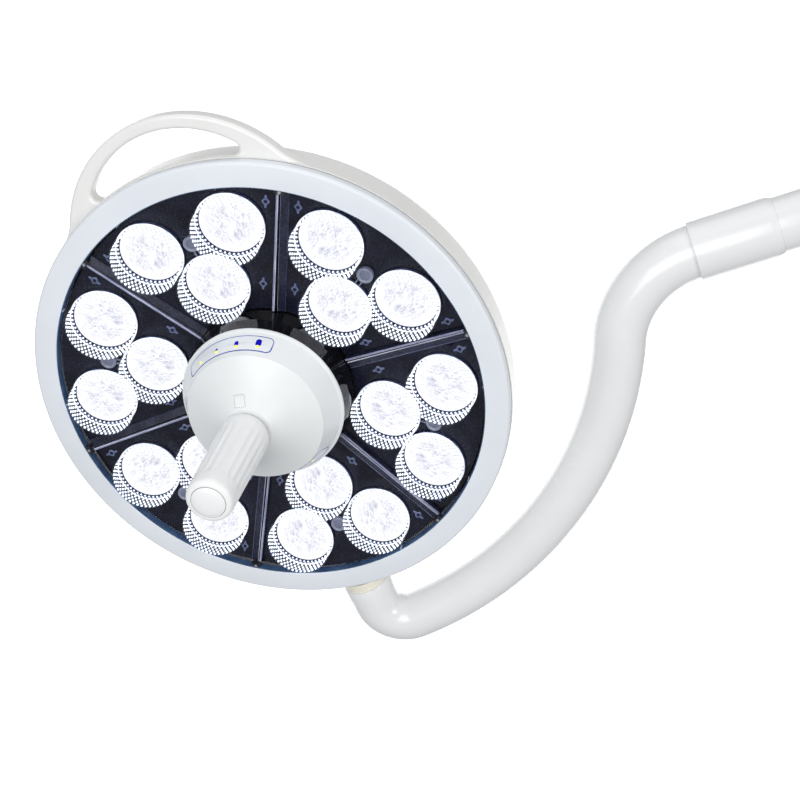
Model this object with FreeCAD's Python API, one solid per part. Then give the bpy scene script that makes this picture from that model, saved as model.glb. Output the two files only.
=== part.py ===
import FreeCAD, Part
import math
import os

# Surgical light head on its yoke, in millimetres.
# Row frame: the origin is the centre of the open end of the arm stub, +X runs out along the
# suspension arm, +Z is up. The yoke hangs in the XZ plane, and the light shines towards -Y.

V = FreeCAD.Vector
X_AXIS = V(1, 0, 0)
Y_AXIS = V(0, 1, 0)
Z_AXIS = V(0, 0, 1)
ORIGIN = V(0, 0, 0)

# ---- places ----
ARM_REACH = 540.0           # head centre to the arm mount, along the swivel axis
HEAD_TURN = 5.8             # the head's rest angle about the tilt axis, degrees
PIVOT_DEPTH = 24.6          # tilt axis behind the bezel's front plane

# ---- head ----
FIELD_R = 205.0             # opening of the bezel
BEZEL_R = 227.5
HOUSING_R = 228.5
WALL = 3.0
BEZEL_DEPTH = 9.0
SEAL_T = 1.4
SIDE_DEPTH = 38.0           # where the side wall starts to curve in
BACK_DEPTH = 75.5
BACK_FLAT_R = 92.0          # flat middle of the back
SCREW_CIRCLE_R = 80.0
LOOP_T = 16.0               # thickness of the loop handle, front to back
LOOP_R = 123.0
LOOP_CENTRE = 149.0         # centre of the loop's outer arc above the head axis
LOOP_BLEND_R = 60.0
LOOP_FOOT_X = 112.0         # the loop's feet end here, where its blend gets thin
HOLE_R = 100.0
HOLE_CENTRE = 160.0
HOLE_CORNER_R = 6.0

# ---- optics: six flat sectors set in a dish ----
SECTORS = 6
SECTOR_TURN = -2.0          # first sector's mid-line from straight up, degrees
DISH_TILT = 7.4             # each sector's plane from the head's plane, degrees
DISH_DEPTH = 31.7           # where the sector planes cross the head axis, behind the bezel
PLATE_IN_R = 80.5
PLATE_OUT_R = 203.8
PLATE_T = 3.0
PLATE_FACE = -3.0           # the plate's front face, from the sector plane
SLIT_W = 2.9                # open slit between two plates
RIB_W = 2.0                 # upright rib along a plate's clockwise edge
RIB_TOP = 1.5
BAND_TOP = 0.5              # sloping band along its other edge
BAND_FOOT = 7.0
BAND_FOOT_W = -2.5
BAND_END = 8.0
RING_FACE = 1.0             # the step ring round a lens; the collar stands on it
LENS_R = 29.2
LENS_FACE = -4.6            # the edge of a lens face, below the ring
LENS_CROWN = 1.6
LENS_CROWN_R = 150.0
RING_R = 31.8
RIM_R = 32.4
COLLAR_H = 16.0
COLLAR_T = 1.3
LENS_OUT = (162.9, 42.0)    # outer lens: along the sector's mid-line, and to the side
LENS_IN = (114.0, 0.0)
LENS_LEN = 11.5
LED_END_R = 9.0
POST_AT = 159.0
POST_R = 7.5
POST_TOP = 1.5
CLIP_W = 9.0                # rim clip: width, depth, radial length, front face, inner end in the field
CLIP_T = 5.0
CLIP_L = 4.0
CLIP_FRONT = 2.5
CLIP_IN = 4.1
RIM_SCREW_R = 1.5
RIM_SCREW_H = 0.9
BOARD_T = 1.6
BOARD_W = -20.5             # the board's front face, below the sector plane
SINK_BASE_T = 3.0
CHASSIS_DEPTH = 50.0
CHASSIS_T = 3.0

# ---- hub and handle ----
COLLAR_R = 79.0
HUB_R = 77.0
BAND_R = 63.5
HUB_BACK = -10.0            # depths behind the bezel plane; negative is in front
BAND_FRONT = -36.5
CONE_FRONT = -59.0
CONE_R = 24.0
GRIP_BACK = -61.0
GRIP_FRONT = -172.0
GRIP_R = 22.5
GRIP_TIP_R = 20.5
GRIP_BORE_R = 14.0
FLUTES = 20
SPINDLE_R = 13.7
SPINDLE_FRONT = -112.0
CAP_R = 15.0
CAP_RISE = 2.4
KEYPAD_MIDDLES = (-2.0, 178.0)     # control strips' middles, degrees from straight up
KEYPAD_SPAN = 77.0
LAMP_R = 1.2
LAMP_AT = 67.9              # lamp circle's radius
LAMP_FIRST = -23.5          # first lamp's place from a strip's middle, and the step between lamps
LAMP_STEP = 16.8
LAMP_FRONT = -24.0
LAMP_BACK = -12.0
LATCH_TURN = 8.5            # the button's place around the handle, degrees from straight up
LATCH_AT = 28.8
LATCH_SIZE = 9.2

# ---- yoke ----
TUBE_R = 24.15              # 1 1/2 inch pipe size
TUBE_WALL = 3.2
ELBOW_R = 30.0
ELBOW_DROP = 265.7          # head centre to the elbow's start
TUBE_TOP = 238.0            # the tube's end below the head centre
LOW_TURN = 8.5              # slope of the tube after the elbow, degrees
TOP_TURN = 70.5             # slope of the tube where it bends back to level
TOP_R = 90.0
YOKE_END = 432.0            # where the tube ends inside the sleeve
CABLE_R = 4.0
CABLE_TOP = 212.0           # the cable's end inside the tilt shaft
CABLE_LOW = 299.0           # corner of the cable's route under the tilt shaft
CABLE_BEND_R = 15.0

# ---- arm end ----
SPIGOT_R = 14.0
SPIGOT_END = 505.0
STUB_START = 433.0
STUB_BORE_R = 17.0
STUB_SEAT_R = 20.5          # arm socket in the far end
STUB_SEAT_L = 30.0
SLEEVE_R = 26.3
SLEEVE_T = 1.8
SLEEVE_START = 404.0
SLEEVE_END = 476.0
SLEEVE_TAPER = 6.0
BRAKE_ANGLES = (-90.0, 0.0)
BRAKE_AT = 456.0
BRAKE_R = 3.0
GROOVE_AT = 446.0
GROOVE_W = 4.0
STOP_R = 2.0
RUN = 0.05                  # running clearance of a shaft in its bush, on the radius
SHAFT_R = 12.0
SHAFT_BORE_R = 6.0
SHAFT_LOW = 280.0
BUSH_R = 20.85
STOP_TOP = 260.4            # the tilt stop's height in the yoke's end
STOP_LOW = 265.4
NUT_R = 16.5
NUT_T = 6.0


# ---- helpers ----
def deep(depth):
    """Y of a depth behind the bezel's front plane."""
    return depth - PIVOT_DEPTH


def polar(radius, angle):
    """A point of the head's plane: radius from the head axis, angle from straight up."""
    turn = math.radians(angle)
    return V(radius * math.sin(turn), 0, radius * math.cos(turn))


def chain(points):
    """A closed face from points; a point given as ('arc', mid) bends the edge to the next one."""
    edges = []
    last = points[0]
    bend = None
    for item in points[1:] + [points[0]]:
        if isinstance(item, tuple):
            bend = item[1]
            continue
        if bend is None:
            edges.append(Part.LineSegment(last, item).toShape())
        else:
            edges.append(Part.Arc(last, bend, item).toShape())
        last = item
        bend = None
    return Part.Face(Part.Wire(edges))


def turned(profile):
    """A solid turned about the head axis from (radius, depth) points."""
    points = []
    for item in profile:
        if item[0] == "arc":
            points.append(("arc", V(item[1], deep(item[2]), 0)))
        else:
            points.append(V(item[0], deep(item[1]), 0))
    return chain(points).revolve(ORIGIN, Y_AXIS, 360)


def ring(outer, inner, low, high):
    """A plain ring on the head axis between two depths."""
    body = Part.makeCylinder(outer, high - low, V(0, deep(low), 0), Y_AXIS)
    return body.cut(Part.makeCylinder(inner, high - low, V(0, deep(low), 0), Y_AXIS))


def along_x(outer, inner, start, end):
    """A tube on the swivel axis."""
    body = Part.makeCylinder(outer, end - start, V(start, 0, 0), X_AXIS)
    return body.cut(Part.makeCylinder(inner, end - start, V(start, 0, 0), X_AXIS))


def along_z(outer, inner, low, high):
    """A tube on the tilt axis."""
    body = Part.makeCylinder(outer, high - low, V(0, 0, low), Z_AXIS)
    if inner > 0:
        body = body.cut(Part.makeCylinder(inner, high - low, V(0, 0, low), Z_AXIS))
    return body


def in_sector(shape, number):
    """Moves a shape from the sector's own frame (along, across, out) to the head's frame."""
    turn = math.radians(SECTOR_TURN + number * 360.0 / SECTORS)
    tilt = math.radians(DISH_TILT)
    radial = V(math.sin(turn), 0, math.cos(turn))
    along = radial * math.cos(tilt) - Y_AXIS * math.sin(tilt)
    across = V(-math.cos(turn), 0, math.sin(turn))
    out = Y_AXIS * -math.cos(tilt) - radial * math.sin(tilt)
    matrix = FreeCAD.Matrix(along.x, across.x, out.x, 0,
                            along.y, across.y, out.y, deep(DISH_DEPTH),
                            along.z, across.z, out.z, 0,
                            0, 0, 0, 1)
    moved = shape.copy()
    moved.Placement = FreeCAD.Placement(matrix).multiply(moved.Placement)
    return moved


def in_head(shape):
    """Turns a shape of the head to its rest angle and sets it at the head centre."""
    moved = shape.copy()
    moved.rotate(ORIGIN, Z_AXIS, -HEAD_TURN)
    moved.translate(V(-ARM_REACH, 0, 0))
    return moved


def in_yoke(shape):
    """Sets a shape drawn about the head centre into the row frame, without the head's turn."""
    moved = shape.copy()
    moved.translate(V(-ARM_REACH, 0, 0))
    return moved


def joined(shapes):
    """One shape from several that overlap or touch."""
    first = shapes[0]
    return first.fuse(shapes[1:]).removeSplitter()


def arc_middle(centre, radius, start, end):
    """The middle point of the short arc between two points of a circle."""
    bisector = (start - centre) + (end - centre)
    bisector.normalize()
    return centre + bisector * radius


# ---- head shells ----
def circle_meeting(near_r, far_r, far_centre):
    """The point, on the +X side, that lies near_r from the axis and far_r from a centre above it."""
    high = (near_r ** 2 - far_r ** 2 + far_centre ** 2) / (2 * far_centre)
    return V(math.sqrt(near_r ** 2 - high ** 2), 0, high)


def mirror_x(point):
    return V(-point.x, point.y, point.z)


def loop_outline():
    """The loop handle's outer outline, blended into the round housing."""
    centre = circle_meeting(HOUSING_R + LOOP_BLEND_R, LOOP_R + LOOP_BLEND_R, LOOP_CENTRE)
    top = V(0, 0, LOOP_CENTRE)
    on_head = centre * (HOUSING_R / (HOUSING_R + LOOP_BLEND_R))
    on_loop = top + (centre - top) * (LOOP_R / (LOOP_R + LOOP_BLEND_R))
    bend = arc_middle(centre, LOOP_BLEND_R, on_head, on_loop)
    crown = V(0, 0, LOOP_CENTRE + LOOP_R)
    return chain([on_head, ("arc", bend), on_loop, ("arc", crown), mirror_x(on_loop),
                  ("arc", mirror_x(bend)), mirror_x(on_head)])


def hole_outline():
    """The finger opening between the loop and the housing's side wall."""
    wall_r = HOUSING_R + 0.5
    centre = circle_meeting(wall_r + HOLE_CORNER_R, HOLE_R - HOLE_CORNER_R, HOLE_CENTRE)
    top = V(0, 0, HOLE_CENTRE)
    on_wall = centre * (wall_r / (wall_r + HOLE_CORNER_R))
    on_arc = top + (centre - top) * (HOLE_R / (HOLE_R - HOLE_CORNER_R))
    bend = arc_middle(centre, HOLE_CORNER_R, on_wall, on_arc)
    crown = V(0, 0, HOLE_CENTRE + HOLE_R)
    return chain([on_wall, ("arc", bend), on_arc, ("arc", crown), mirror_x(on_arc),
                  ("arc", mirror_x(bend)), mirror_x(on_wall), ("arc", V(0, 0, wall_r))])


def loop_blank(inner_r):
    """The loop handle with its feet carried down to a radius of the housing."""
    loop = loop_outline().extrude(Y_AXIS * LOOP_T)
    loop = loop.cut(hole_outline().extrude(Y_AXIS * LOOP_T))
    rims = [edge for edge in loop.Edges
            if edge.BoundBox.YLength < 0.01 and edge.BoundBox.ZMax > HOUSING_R - 20]
    loop = loop.makeFillet(3.5, rims)
    loop.translate(V(0, deep(BEZEL_DEPTH + SEAL_T), 0))
    return loop.cut(Part.makeCylinder(inner_r, 200, V(0, -100, 0), Y_AXIS))


def foot_limit():
    """The space between the two planes where the loop's feet end."""
    return Part.makeBox(2 * LOOP_FOOT_X, 200, 600, V(-LOOP_FOOT_X, -100, -300))


def loop_handle():
    """Loop handle that stands on the back shell's side wall."""
    return loop_blank(HOUSING_R).common(foot_limit())


def rear_housing():
    """Back shell: side wall, flat-topped domed back, the loop's blends and the pivot's hole."""
    front = BEZEL_DEPTH + SEAL_T
    shell = turned([(HOUSING_R, front), (HOUSING_R, SIDE_DEPTH),
                    ("arc", 222.5, 53.5), (206.0, 62.0), ("arc", 150.0, 71.8),
                    (BACK_FLAT_R, BACK_DEPTH), (0, BACK_DEPTH), (0, BACK_DEPTH - WALL),
                    (BACK_FLAT_R, BACK_DEPTH - WALL), ("arc", 149.6, 68.8), (204.5, 59.2),
                    ("arc", 219.8, 51.4), (HOUSING_R - WALL, SIDE_DEPTH),
                    (HOUSING_R - WALL, front)])
    shell = shell.fuse(loop_blank(HOUSING_R - WALL / 2).cut(foot_limit())).removeSplitter()
    shell = shell.cut(along_z(SHAFT_R + 1.0, 0, -HOUSING_R - 5, -HOUSING_R + 20))
    for place in screw_places():
        shell = shell.cut(Part.makeCylinder(2.2, 60, place + V(0, 20, 0), Y_AXIS))
    return shell


def screw_places():
    """The housing screws stand on a circle on the back."""
    return [polar(SCREW_CIRCLE_R, 30 + 60 * number) for number in range(6)]


def housing_screws():
    """Pan-head screws that hold the back shell to the chassis."""
    screws = []
    for place in screw_places():
        head = Part.makeCylinder(4.5, 2.6, place + V(0, deep(BACK_DEPTH), 0), Y_AXIS)
        shank = Part.makeCylinder(2.0, BACK_DEPTH - CHASSIS_DEPTH - CHASSIS_T,
                                  place + V(0, deep(CHASSIS_DEPTH + CHASSIS_T), 0), Y_AXIS)
        screws.append(head.fuse(shank).removeSplitter())
    return Part.makeCompound(screws)


def bezel():
    """Front ring: flat face with a rounded outer edge, inner wall and a lip for the seal."""
    return turned([(FIELD_R, 0.6), (FIELD_R + 0.6, 0), (BEZEL_R - 4, 0),
                   ("arc", BEZEL_R - 1.17, 1.17), (BEZEL_R, 4), (BEZEL_R, BEZEL_DEPTH),
                   (224.6, BEZEL_DEPTH), (224.6, BEZEL_DEPTH + 2.8), (222.2, BEZEL_DEPTH + 2.8),
                   (222.2, WALL), (FIELD_R + 2.5, WALL), (FIELD_R + 2.5, BEZEL_DEPTH),
                   (FIELD_R, BEZEL_DEPTH)])


def bezel_seal():
    """Soft ring pinched between the bezel and the back shell."""
    return ring(BEZEL_R - 0.4, 225.6, BEZEL_DEPTH, BEZEL_DEPTH + SEAL_T)


# ---- optics ----
def sector_face(inner, outer, inset, far_inset=None):
    """A flat sector, its anticlockwise side set in by inset and the other by far_inset."""
    half = math.radians(180.0 / SECTORS)
    if far_inset is None:
        far_inset = inset

    def corner(radius, step, way):
        reach = math.sqrt(radius ** 2 - step ** 2)
        return V(math.cos(half) * reach + math.sin(half) * step,
                 (math.sin(half) * reach - math.cos(half) * step) * way, 0)

    return chain([corner(inner, inset, 1), corner(outer, inset, 1), ("arc", V(outer, 0, 0)),
                  corner(outer, far_inset, -1), corner(inner, far_inset, -1),
                  ("arc", V(inner, 0, 0))])


def lens_centres():
    return [V(LENS_OUT[0], LENS_OUT[1], 0), V(LENS_OUT[0], -LENS_OUT[1], 0),
            V(LENS_IN[0], LENS_IN[1], 0)]


def sector_plate():
    """Black cover plate of one sector: a rib along one straight edge, a sloping band on the other."""
    low = PLATE_FACE - PLATE_T
    half = math.radians(180.0 / SECTORS)
    outline = sector_face(PLATE_IN_R, PLATE_OUT_R, 0.0, SLIT_W)
    plate = outline.extrude(Z_AXIS * PLATE_T)
    rib = outline.extrude(Z_AXIS * (RIB_TOP - low))
    rib = rib.cut(sector_face(PLATE_IN_R - 5, PLATE_OUT_R + 5, -20.0, SLIT_W + RIB_W).extrude(Z_AXIS * 20))
    section = chain([V(0, 0, low), V(0, 0, BAND_TOP), V(BAND_FOOT, 0, BAND_FOOT_W),
                     V(BAND_END, 0, BAND_FOOT_W), V(BAND_END, 0, low)])
    band = section.extrude(Y_AXIS * (PLATE_OUT_R + 10))
    band.rotate(ORIGIN, Z_AXIS, -90.0 + math.degrees(half))
    band = band.common(sector_face(PLATE_IN_R, PLATE_OUT_R, 0.0, SLIT_W).extrude(Z_AXIS * 40)
                       .translated(V(0, 0, low)))
    plate.translate(V(0, 0, low))
    rib.translate(V(0, 0, low))
    plate = joined([plate, rib, band])
    for centre in lens_centres():
        plate = plate.cut(Part.makeCylinder(LENS_R + 0.5, 20, centre - V(0, 0, 10)))
    return plate.cut(Part.makeCylinder(3.2, 20, V(POST_AT, 0, -10)))


def lens_trio():
    """Clear moulding of three collimator lenses on one web behind the plate."""
    web_top = PLATE_FACE - PLATE_T - 0.1
    web = []
    for centre in lens_centres():
        foot = centre + V(0, 0, LENS_FACE)
        lens = Part.makeCone(LED_END_R, LENS_R, LENS_LEN, foot - V(0, 0, LENS_LEN))
        crown = Part.makeSphere(LENS_CROWN_R, foot + V(0, 0, LENS_CROWN - LENS_CROWN_R))
        face = Part.makeCylinder(LENS_R, 2 * LENS_CROWN, foot).common(crown)
        flange = Part.makeCylinder(RING_R, 1.8, centre + V(0, 0, web_top - 1.8))
        web += [lens, face, flange]
    boss = Part.makeCylinder(6.0, 1.8, V(POST_AT, 0, web_top - 1.8))
    spine = Part.makeBox(POST_AT - LENS_IN[0], 6, 1.8, V(LENS_IN[0], -3, web_top - 1.8))
    return joined(web + [boss, spine])


def lens_collars():
    """Clear front moulding of a sector: three deep collars, their flanges and one post."""
    base = PLATE_FACE
    flange_t = 1.2
    skirt = RING_FACE - base
    solid = []
    space = []
    for centre in lens_centres():
        foot = centre + V(0, 0, base)
        ring_face = centre + V(0, 0, RING_FACE)
        solid.append(Part.makeCylinder(RING_R + 1.0, flange_t, foot))
        solid.append(Part.makeCylinder(RING_R, skirt, foot))
        solid.append(Part.makeCone(RING_R, RIM_R, COLLAR_H, ring_face))
        space.append(Part.makeCylinder(RING_R - COLLAR_T, skirt + 2, foot - V(0, 0, 1)))
        space.append(Part.makeCone(RING_R - COLLAR_T, RIM_R - COLLAR_T, COLLAR_H, ring_face))
        space.append(Part.makeCylinder(RIM_R - COLLAR_T, 4, ring_face + V(0, 0, COLLAR_H)))
    post = Part.makeCylinder(POST_R, POST_TOP - base, V(POST_AT, 0, base))
    pin = Part.makeCylinder(3.0, PLATE_T, V(POST_AT, 0, base - PLATE_T))
    spine_from = LENS_IN[0] + RING_R - 0.5
    spine = Part.makeBox(POST_AT - spine_from, 3, flange_t, V(spine_from, -1.5, base))
    return joined([joined(solid).cut(space), post, pin, spine])


def led_board():
    """Metal-core board of one sector."""
    board = sector_face(92.0, 197.0, 9.0).extrude(Z_AXIS * BOARD_T)
    board.translate(V(0, 0, BOARD_W - BOARD_T))
    return board


def led_emitters():
    """One emitter with its small dome under each lens."""
    emitters = []
    for number in range(SECTORS):
        for centre in lens_centres():
            base = Part.makeBox(7, 7, 1.2, centre + V(-3.5, -3.5, BOARD_W))
            dome = Part.makeSphere(2.6, centre + V(0, 0, BOARD_W + 1.2), Z_AXIS, 0, 90, 360)
            emitters.append(in_sector(base.fuse(dome).removeSplitter(), number))
    return Part.makeCompound(emitters)


def heat_sink():
    """Finned wedge between one board and the flat chassis."""
    top = BOARD_W - BOARD_T
    base = sector_face(90.0, 198.0, 8.0).extrude(Z_AXIS * SINK_BASE_T)
    base.translate(V(0, 0, top - SINK_BASE_T))
    pieces = [base]
    for number in range(9):
        across = -56 + number * 14.0
        start = max(96.0, abs(across) / math.tan(math.radians(29.8)) + 20)
        fin = Part.makeBox(186 - start, 2.0, 26.0, V(start, across - 1.0, top - SINK_BASE_T - 25.5))
        pieces.append(fin)
    body = in_sector(joined(pieces), 0)
    floor = Part.makeBox(700, 60, 700, V(-350, deep(CHASSIS_DEPTH), -350))
    return body.cut(floor)


def heat_sinks():
    sinks = []
    first = heat_sink()
    for number in range(SECTORS):
        turned_sink = first.copy()
        turned_sink.rotate(ORIGIN, Y_AXIS, number * 360.0 / SECTORS)
        sinks.append(turned_sink)
    return Part.makeCompound(sinks)


def sector_gaskets():
    """Black strips at the bottom of the slits between the plates."""
    strips = []
    half = math.radians(180.0 / SECTORS)
    for number in range(SECTORS):
        strip = Part.makeBox(PLATE_OUT_R - PLATE_IN_R - 8, SLIT_W - 1.4, 1.8,
                             V(PLATE_IN_R + 4, 1.0, PLATE_FACE - PLATE_T))
        strip.rotate(ORIGIN, Z_AXIS, -math.degrees(half))
        strips.append(in_sector(strip, number))
    return Part.makeCompound(strips)


def chassis():
    """Flat aluminium plate that carries the heat sinks, boards and hub."""
    plate = ring(214.0, 30.0, CHASSIS_DEPTH, CHASSIS_DEPTH + CHASSIS_T)
    for place in screw_places():
        plate = plate.cut(Part.makeCylinder(1.9, 20, place + V(0, deep(45), 0), Y_AXIS))
    plate = plate.cut(Part.makeBox(70, 60, 30, V(-35, -30, -219)))
    return plate


def clip_blocks(grow):
    """Blocks at the rim clips' places, grown all round."""
    blocks = []
    for number in range(SECTORS):
        block = Part.makeBox(CLIP_W + 2 * grow, CLIP_T + 2 * grow, CLIP_L + 2 * grow,
                             V(-CLIP_W / 2 - grow, deep(CLIP_FRONT) - grow, FIELD_R - CLIP_IN - grow))
        block.rotate(ORIGIN, Y_AXIS, SECTOR_TURN + (number + 0.5) * 360.0 / SECTORS)
        blocks.append(block)
    return blocks


def rim_clips():
    """Small clips that hold the plates' corners at the rim."""
    return Part.makeCompound(clip_blocks(0.0))


def rim_screws():
    screws = []
    for number in range(SECTORS):
        place = V(0, deep(CLIP_FRONT - RIM_SCREW_H), FIELD_R - CLIP_IN + CLIP_L / 2)
        head = Part.makeCylinder(RIM_SCREW_R, RIM_SCREW_H, place, Y_AXIS)
        head.rotate(ORIGIN, Y_AXIS, SECTOR_TURN + (number + 0.5) * 360.0 / SECTORS)
        screws.append(head)
    return Part.makeCompound(screws)


def driver_board():
    """LED driver board on the back of the chassis, with its tall parts."""
    back = CHASSIS_DEPTH + CHASSIS_T
    board = Part.makeBox(110, 1.6, 80, V(-55, deep(back + 5), -40))
    coil = Part.makeCylinder(9, 9, V(-28, deep(back + 6.6), 12), Y_AXIS)
    caps = [Part.makeCylinder(5, 11, V(18 + 13 * k, deep(back + 6.6), -18), Y_AXIS)
            for k in range(2)]
    feet = [Part.makeCylinder(3, 5, V(x, deep(back), z), Y_AXIS)
            for x in (-48, 48) for z in (-33, 33)]
    return joined([board, coil] + caps + feet)


# ---- hub and handle ----
def hub_collar():
    """Glossy black collar between the plates and the white hub."""
    return turned([(COLLAR_R, CHASSIS_DEPTH), (COLLAR_R, 4.0), (HUB_R - 1.0, HUB_BACK + 1.0),
                   (HUB_R - 1.0, HUB_BACK), (HUB_R - 4.0, HUB_BACK), (HUB_R - 4.0, 2.0),
                   (COLLAR_R - 3.0, 6.0), (COLLAR_R - 3.0, CHASSIS_DEPTH)])


def latch_pocket(grow, low, high):
    """Square block where the latch button runs, between two depths."""
    size = LATCH_SIZE + 2 * grow
    block = Part.makeBox(size, high - low, size, V(-size / 2, deep(low), LATCH_AT - size / 2))
    block.rotate(ORIGIN, Y_AXIS, LATCH_TURN)
    return block


def cone_depth(radius):
    """Depth of the hub's front cone at a radius."""
    share = (radius - CONE_R) / (BAND_R - CONE_R)
    return CONE_FRONT + share * (BAND_FRONT - CONE_FRONT)


def hub_cover():
    """White hub: a conical control band and a shallow cone down to the handle."""
    cover = turned([(HUB_R, HUB_BACK), ("arc", HUB_R - 0.9, HUB_BACK - 2.0),
                    (HUB_R - 2.6, HUB_BACK - 3.4), (BAND_R, BAND_FRONT),
                    (CONE_R, CONE_FRONT), (CONE_R - 1.5, CONE_FRONT - 1.5),
                    (SPINDLE_R + 0.3, CONE_FRONT - 1.5), (SPINDLE_R + 0.3, CONE_FRONT + 3.0),
                    (CONE_R, CONE_FRONT + 3.0), (BAND_R - 2.0, BAND_FRONT + 2.6),
                    (HUB_R - 5.0, HUB_BACK - 2.0), (HUB_R - 5.0, HUB_BACK)])
    return cover.cut([latch_pocket(0.3, CONE_FRONT - 3.0, 0)] + lamp_rods(LAMP_R + 0.1))


def keypad(middle, span):
    """Thin control strip laid on the conical band."""
    lift = 0.7
    slope = math.atan2(HUB_BACK - 3.4 - BAND_FRONT, HUB_R - 2.6 - BAND_R)
    run = V(math.cos(slope), math.sin(slope), 0)
    out = V(math.sin(slope), -math.cos(slope), 0)
    low = V(BAND_R, deep(BAND_FRONT), 0) + run * 5.0 + out * 0.02
    high = V(BAND_R, deep(BAND_FRONT), 0) + run * 22.3 + out * 0.02
    face = chain([low, high, high + out * lift, low + out * lift])
    strip = face.revolve(ORIGIN, Y_AXIS, span)
    strip.rotate(ORIGIN, Y_AXIS, middle - span / 2 - 90.0)
    return strip


def lamp_rods(radius):
    """Rods at the indicator lamps' places."""
    lamps = []
    for middle in KEYPAD_MIDDLES:
        for number in range(4):
            angle = middle + LAMP_FIRST + LAMP_STEP * number
            lamps.append(Part.makeCylinder(radius, LAMP_BACK - LAMP_FRONT,
                                           polar(LAMP_AT, angle) + V(0, deep(LAMP_FRONT), 0), Y_AXIS))
    return lamps


def indicator_leds():
    """Four small lamps under each control strip, on the control board."""
    return Part.makeCompound(lamp_rods(LAMP_R))


def control_board():
    """Round board behind the control band."""
    return ring(70.0, 20.0, -12.0, -10.4)


def handle_spindle():
    """Fixed tube on the chassis that the removable grip plugs on to."""
    foot = ring(40.0, 9.0, CHASSIS_DEPTH - 6, CHASSIS_DEPTH)
    tube = ring(SPINDLE_R, 9.0, SPINDLE_FRONT, CHASSIS_DEPTH - 6)
    nose = ring(SPINDLE_R - 1.0, 9.0, SPINDLE_FRONT - 2.0, SPINDLE_FRONT)
    return joined([foot, tube, nose])


def handle_grip():
    """Removable fluted grip with a rounded rim at its end."""
    body = turned([(GRIP_R - 1.5, GRIP_BACK), (GRIP_R, GRIP_BACK - 2.0),
                   (GRIP_TIP_R, GRIP_FRONT + 5.0), ("arc", GRIP_TIP_R - 1.5, GRIP_FRONT + 1.4),
                   (GRIP_TIP_R - 4.5, GRIP_FRONT), (CAP_R, GRIP_FRONT),
                   (CAP_R, GRIP_FRONT + 4.0), (GRIP_BORE_R, GRIP_FRONT + 4.0),
                   (GRIP_BORE_R, GRIP_BACK)])
    groove_r = 6.0
    for number in range(FLUTES):
        start = polar(GRIP_R + groove_r - 0.9, number * 360.0 / FLUTES)
        end = polar(GRIP_TIP_R + groove_r - 0.9, number * 360.0 / FLUTES)
        low = start + V(0, deep(GRIP_BACK - 12.0), 0)
        high = end + V(0, deep(GRIP_FRONT + 16.0), 0)
        way = high - low
        body = body.cut(Part.makeCylinder(groove_r, way.Length, low, way))
    return body


def handle_cap():
    """Domed plug in the end of the grip, with a small flat middle."""
    return turned([(0, GRIP_FRONT + 5.5), (CAP_R - 1.0, GRIP_FRONT + 5.5),
                   (CAP_R - 1.0, GRIP_FRONT + 4.0), (CAP_R - 0.3, GRIP_FRONT + 4.0),
                   (CAP_R - 0.3, GRIP_FRONT), ("arc", CAP_R * 0.75, GRIP_FRONT - CAP_RISE * 0.65),
                   (CAP_R * 0.4, GRIP_FRONT - CAP_RISE), (0, GRIP_FRONT - CAP_RISE)])


def latch_button():
    """Square button that frees the grip, cut to the slope of the hub's cone."""
    body = latch_pocket(0.0, CONE_FRONT - 3.0, cone_depth(LATCH_AT) + 9.0)
    limit = turned([(CONE_R, CONE_FRONT - 0.4), (BAND_R, BAND_FRONT - 0.4), (BAND_R, 0),
                    (CONE_R, 0)])
    stem = Part.makeCylinder(2.0, 8.0, V(0, deep(cone_depth(LATCH_AT) + 9.0), LATCH_AT), Y_AXIS)
    stem.rotate(ORIGIN, Y_AXIS, LATCH_TURN)
    return body.common(limit).fuse(stem).removeSplitter()


def latch_spring():
    """Small coil round the latch button's stem, drawn at its pressed length."""
    low = cone_depth(LATCH_AT) + 9.0
    turns = 4
    pitch = 1.6
    helix = Part.makeHelix(pitch, pitch * turns, 3.0)
    section = Part.Wire([Part.Circle(V(3.0, 0, 0), Y_AXIS, 0.4).toShape()])
    coil = Part.Wire(helix.Edges).makePipeShell([section], True, True)
    coil.rotate(ORIGIN, X_AXIS, -90)
    coil.translate(polar(LATCH_AT, LATCH_TURN) + V(0, deep(low + 0.5), 0))
    return coil


# ---- tilt pivot ----
def pivot_plate():
    """Steel saddle inside the side wall that carries the tilt shaft."""
    block = Part.makeBox(56, 25, 22, V(-28, -12.5, -HOUSING_R + WALL - 2.0))
    shell = Part.makeCylinder(HOUSING_R - WALL - 0.2, 60, V(0, -30, 0), Y_AXIS)
    hollow = Part.makeCylinder(FIELD_R + 3.2, 60, V(0, -30, 0), Y_AXIS)
    block = block.common(shell).cut(hollow)
    return block.cut(along_z(SHAFT_R, 0, -HOUSING_R, -150))


def pivot_shaft():
    """Hollow tilt shaft: fixed in the saddle, runs in the yoke's bush, with a stop tooth."""
    shaft = along_z(SHAFT_R, SHAFT_BORE_R, -SHAFT_LOW, -FIELD_R - 5.0)
    flange = along_z(SHAFT_R + 4.0, SHAFT_BORE_R, -HOUSING_R - 4.0, -HOUSING_R - 0.2)
    tooth = along_z(SHAFT_R + 4.6, SHAFT_BORE_R, -STOP_LOW + 0.3, -STOP_TOP - 0.3)
    tooth = tooth.common(Part.makeBox(8, 4, 10, V(SHAFT_R - 3, -2, -STOP_LOW)))
    return shaft.fuse([flange, tooth]).removeSplitter()


def pivot_collar():
    """Pale neck ring on the yoke's end, under the head."""
    collar = along_z(TUBE_R - 2.4, SHAFT_R + 4.6, -TUBE_TOP, -HOUSING_R - 1.2)
    spigot = along_z(BUSH_R, SHAFT_R + 4.6, -TUBE_TOP - 1.5, -TUBE_TOP)
    return collar.fuse(spigot).removeSplitter()


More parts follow.
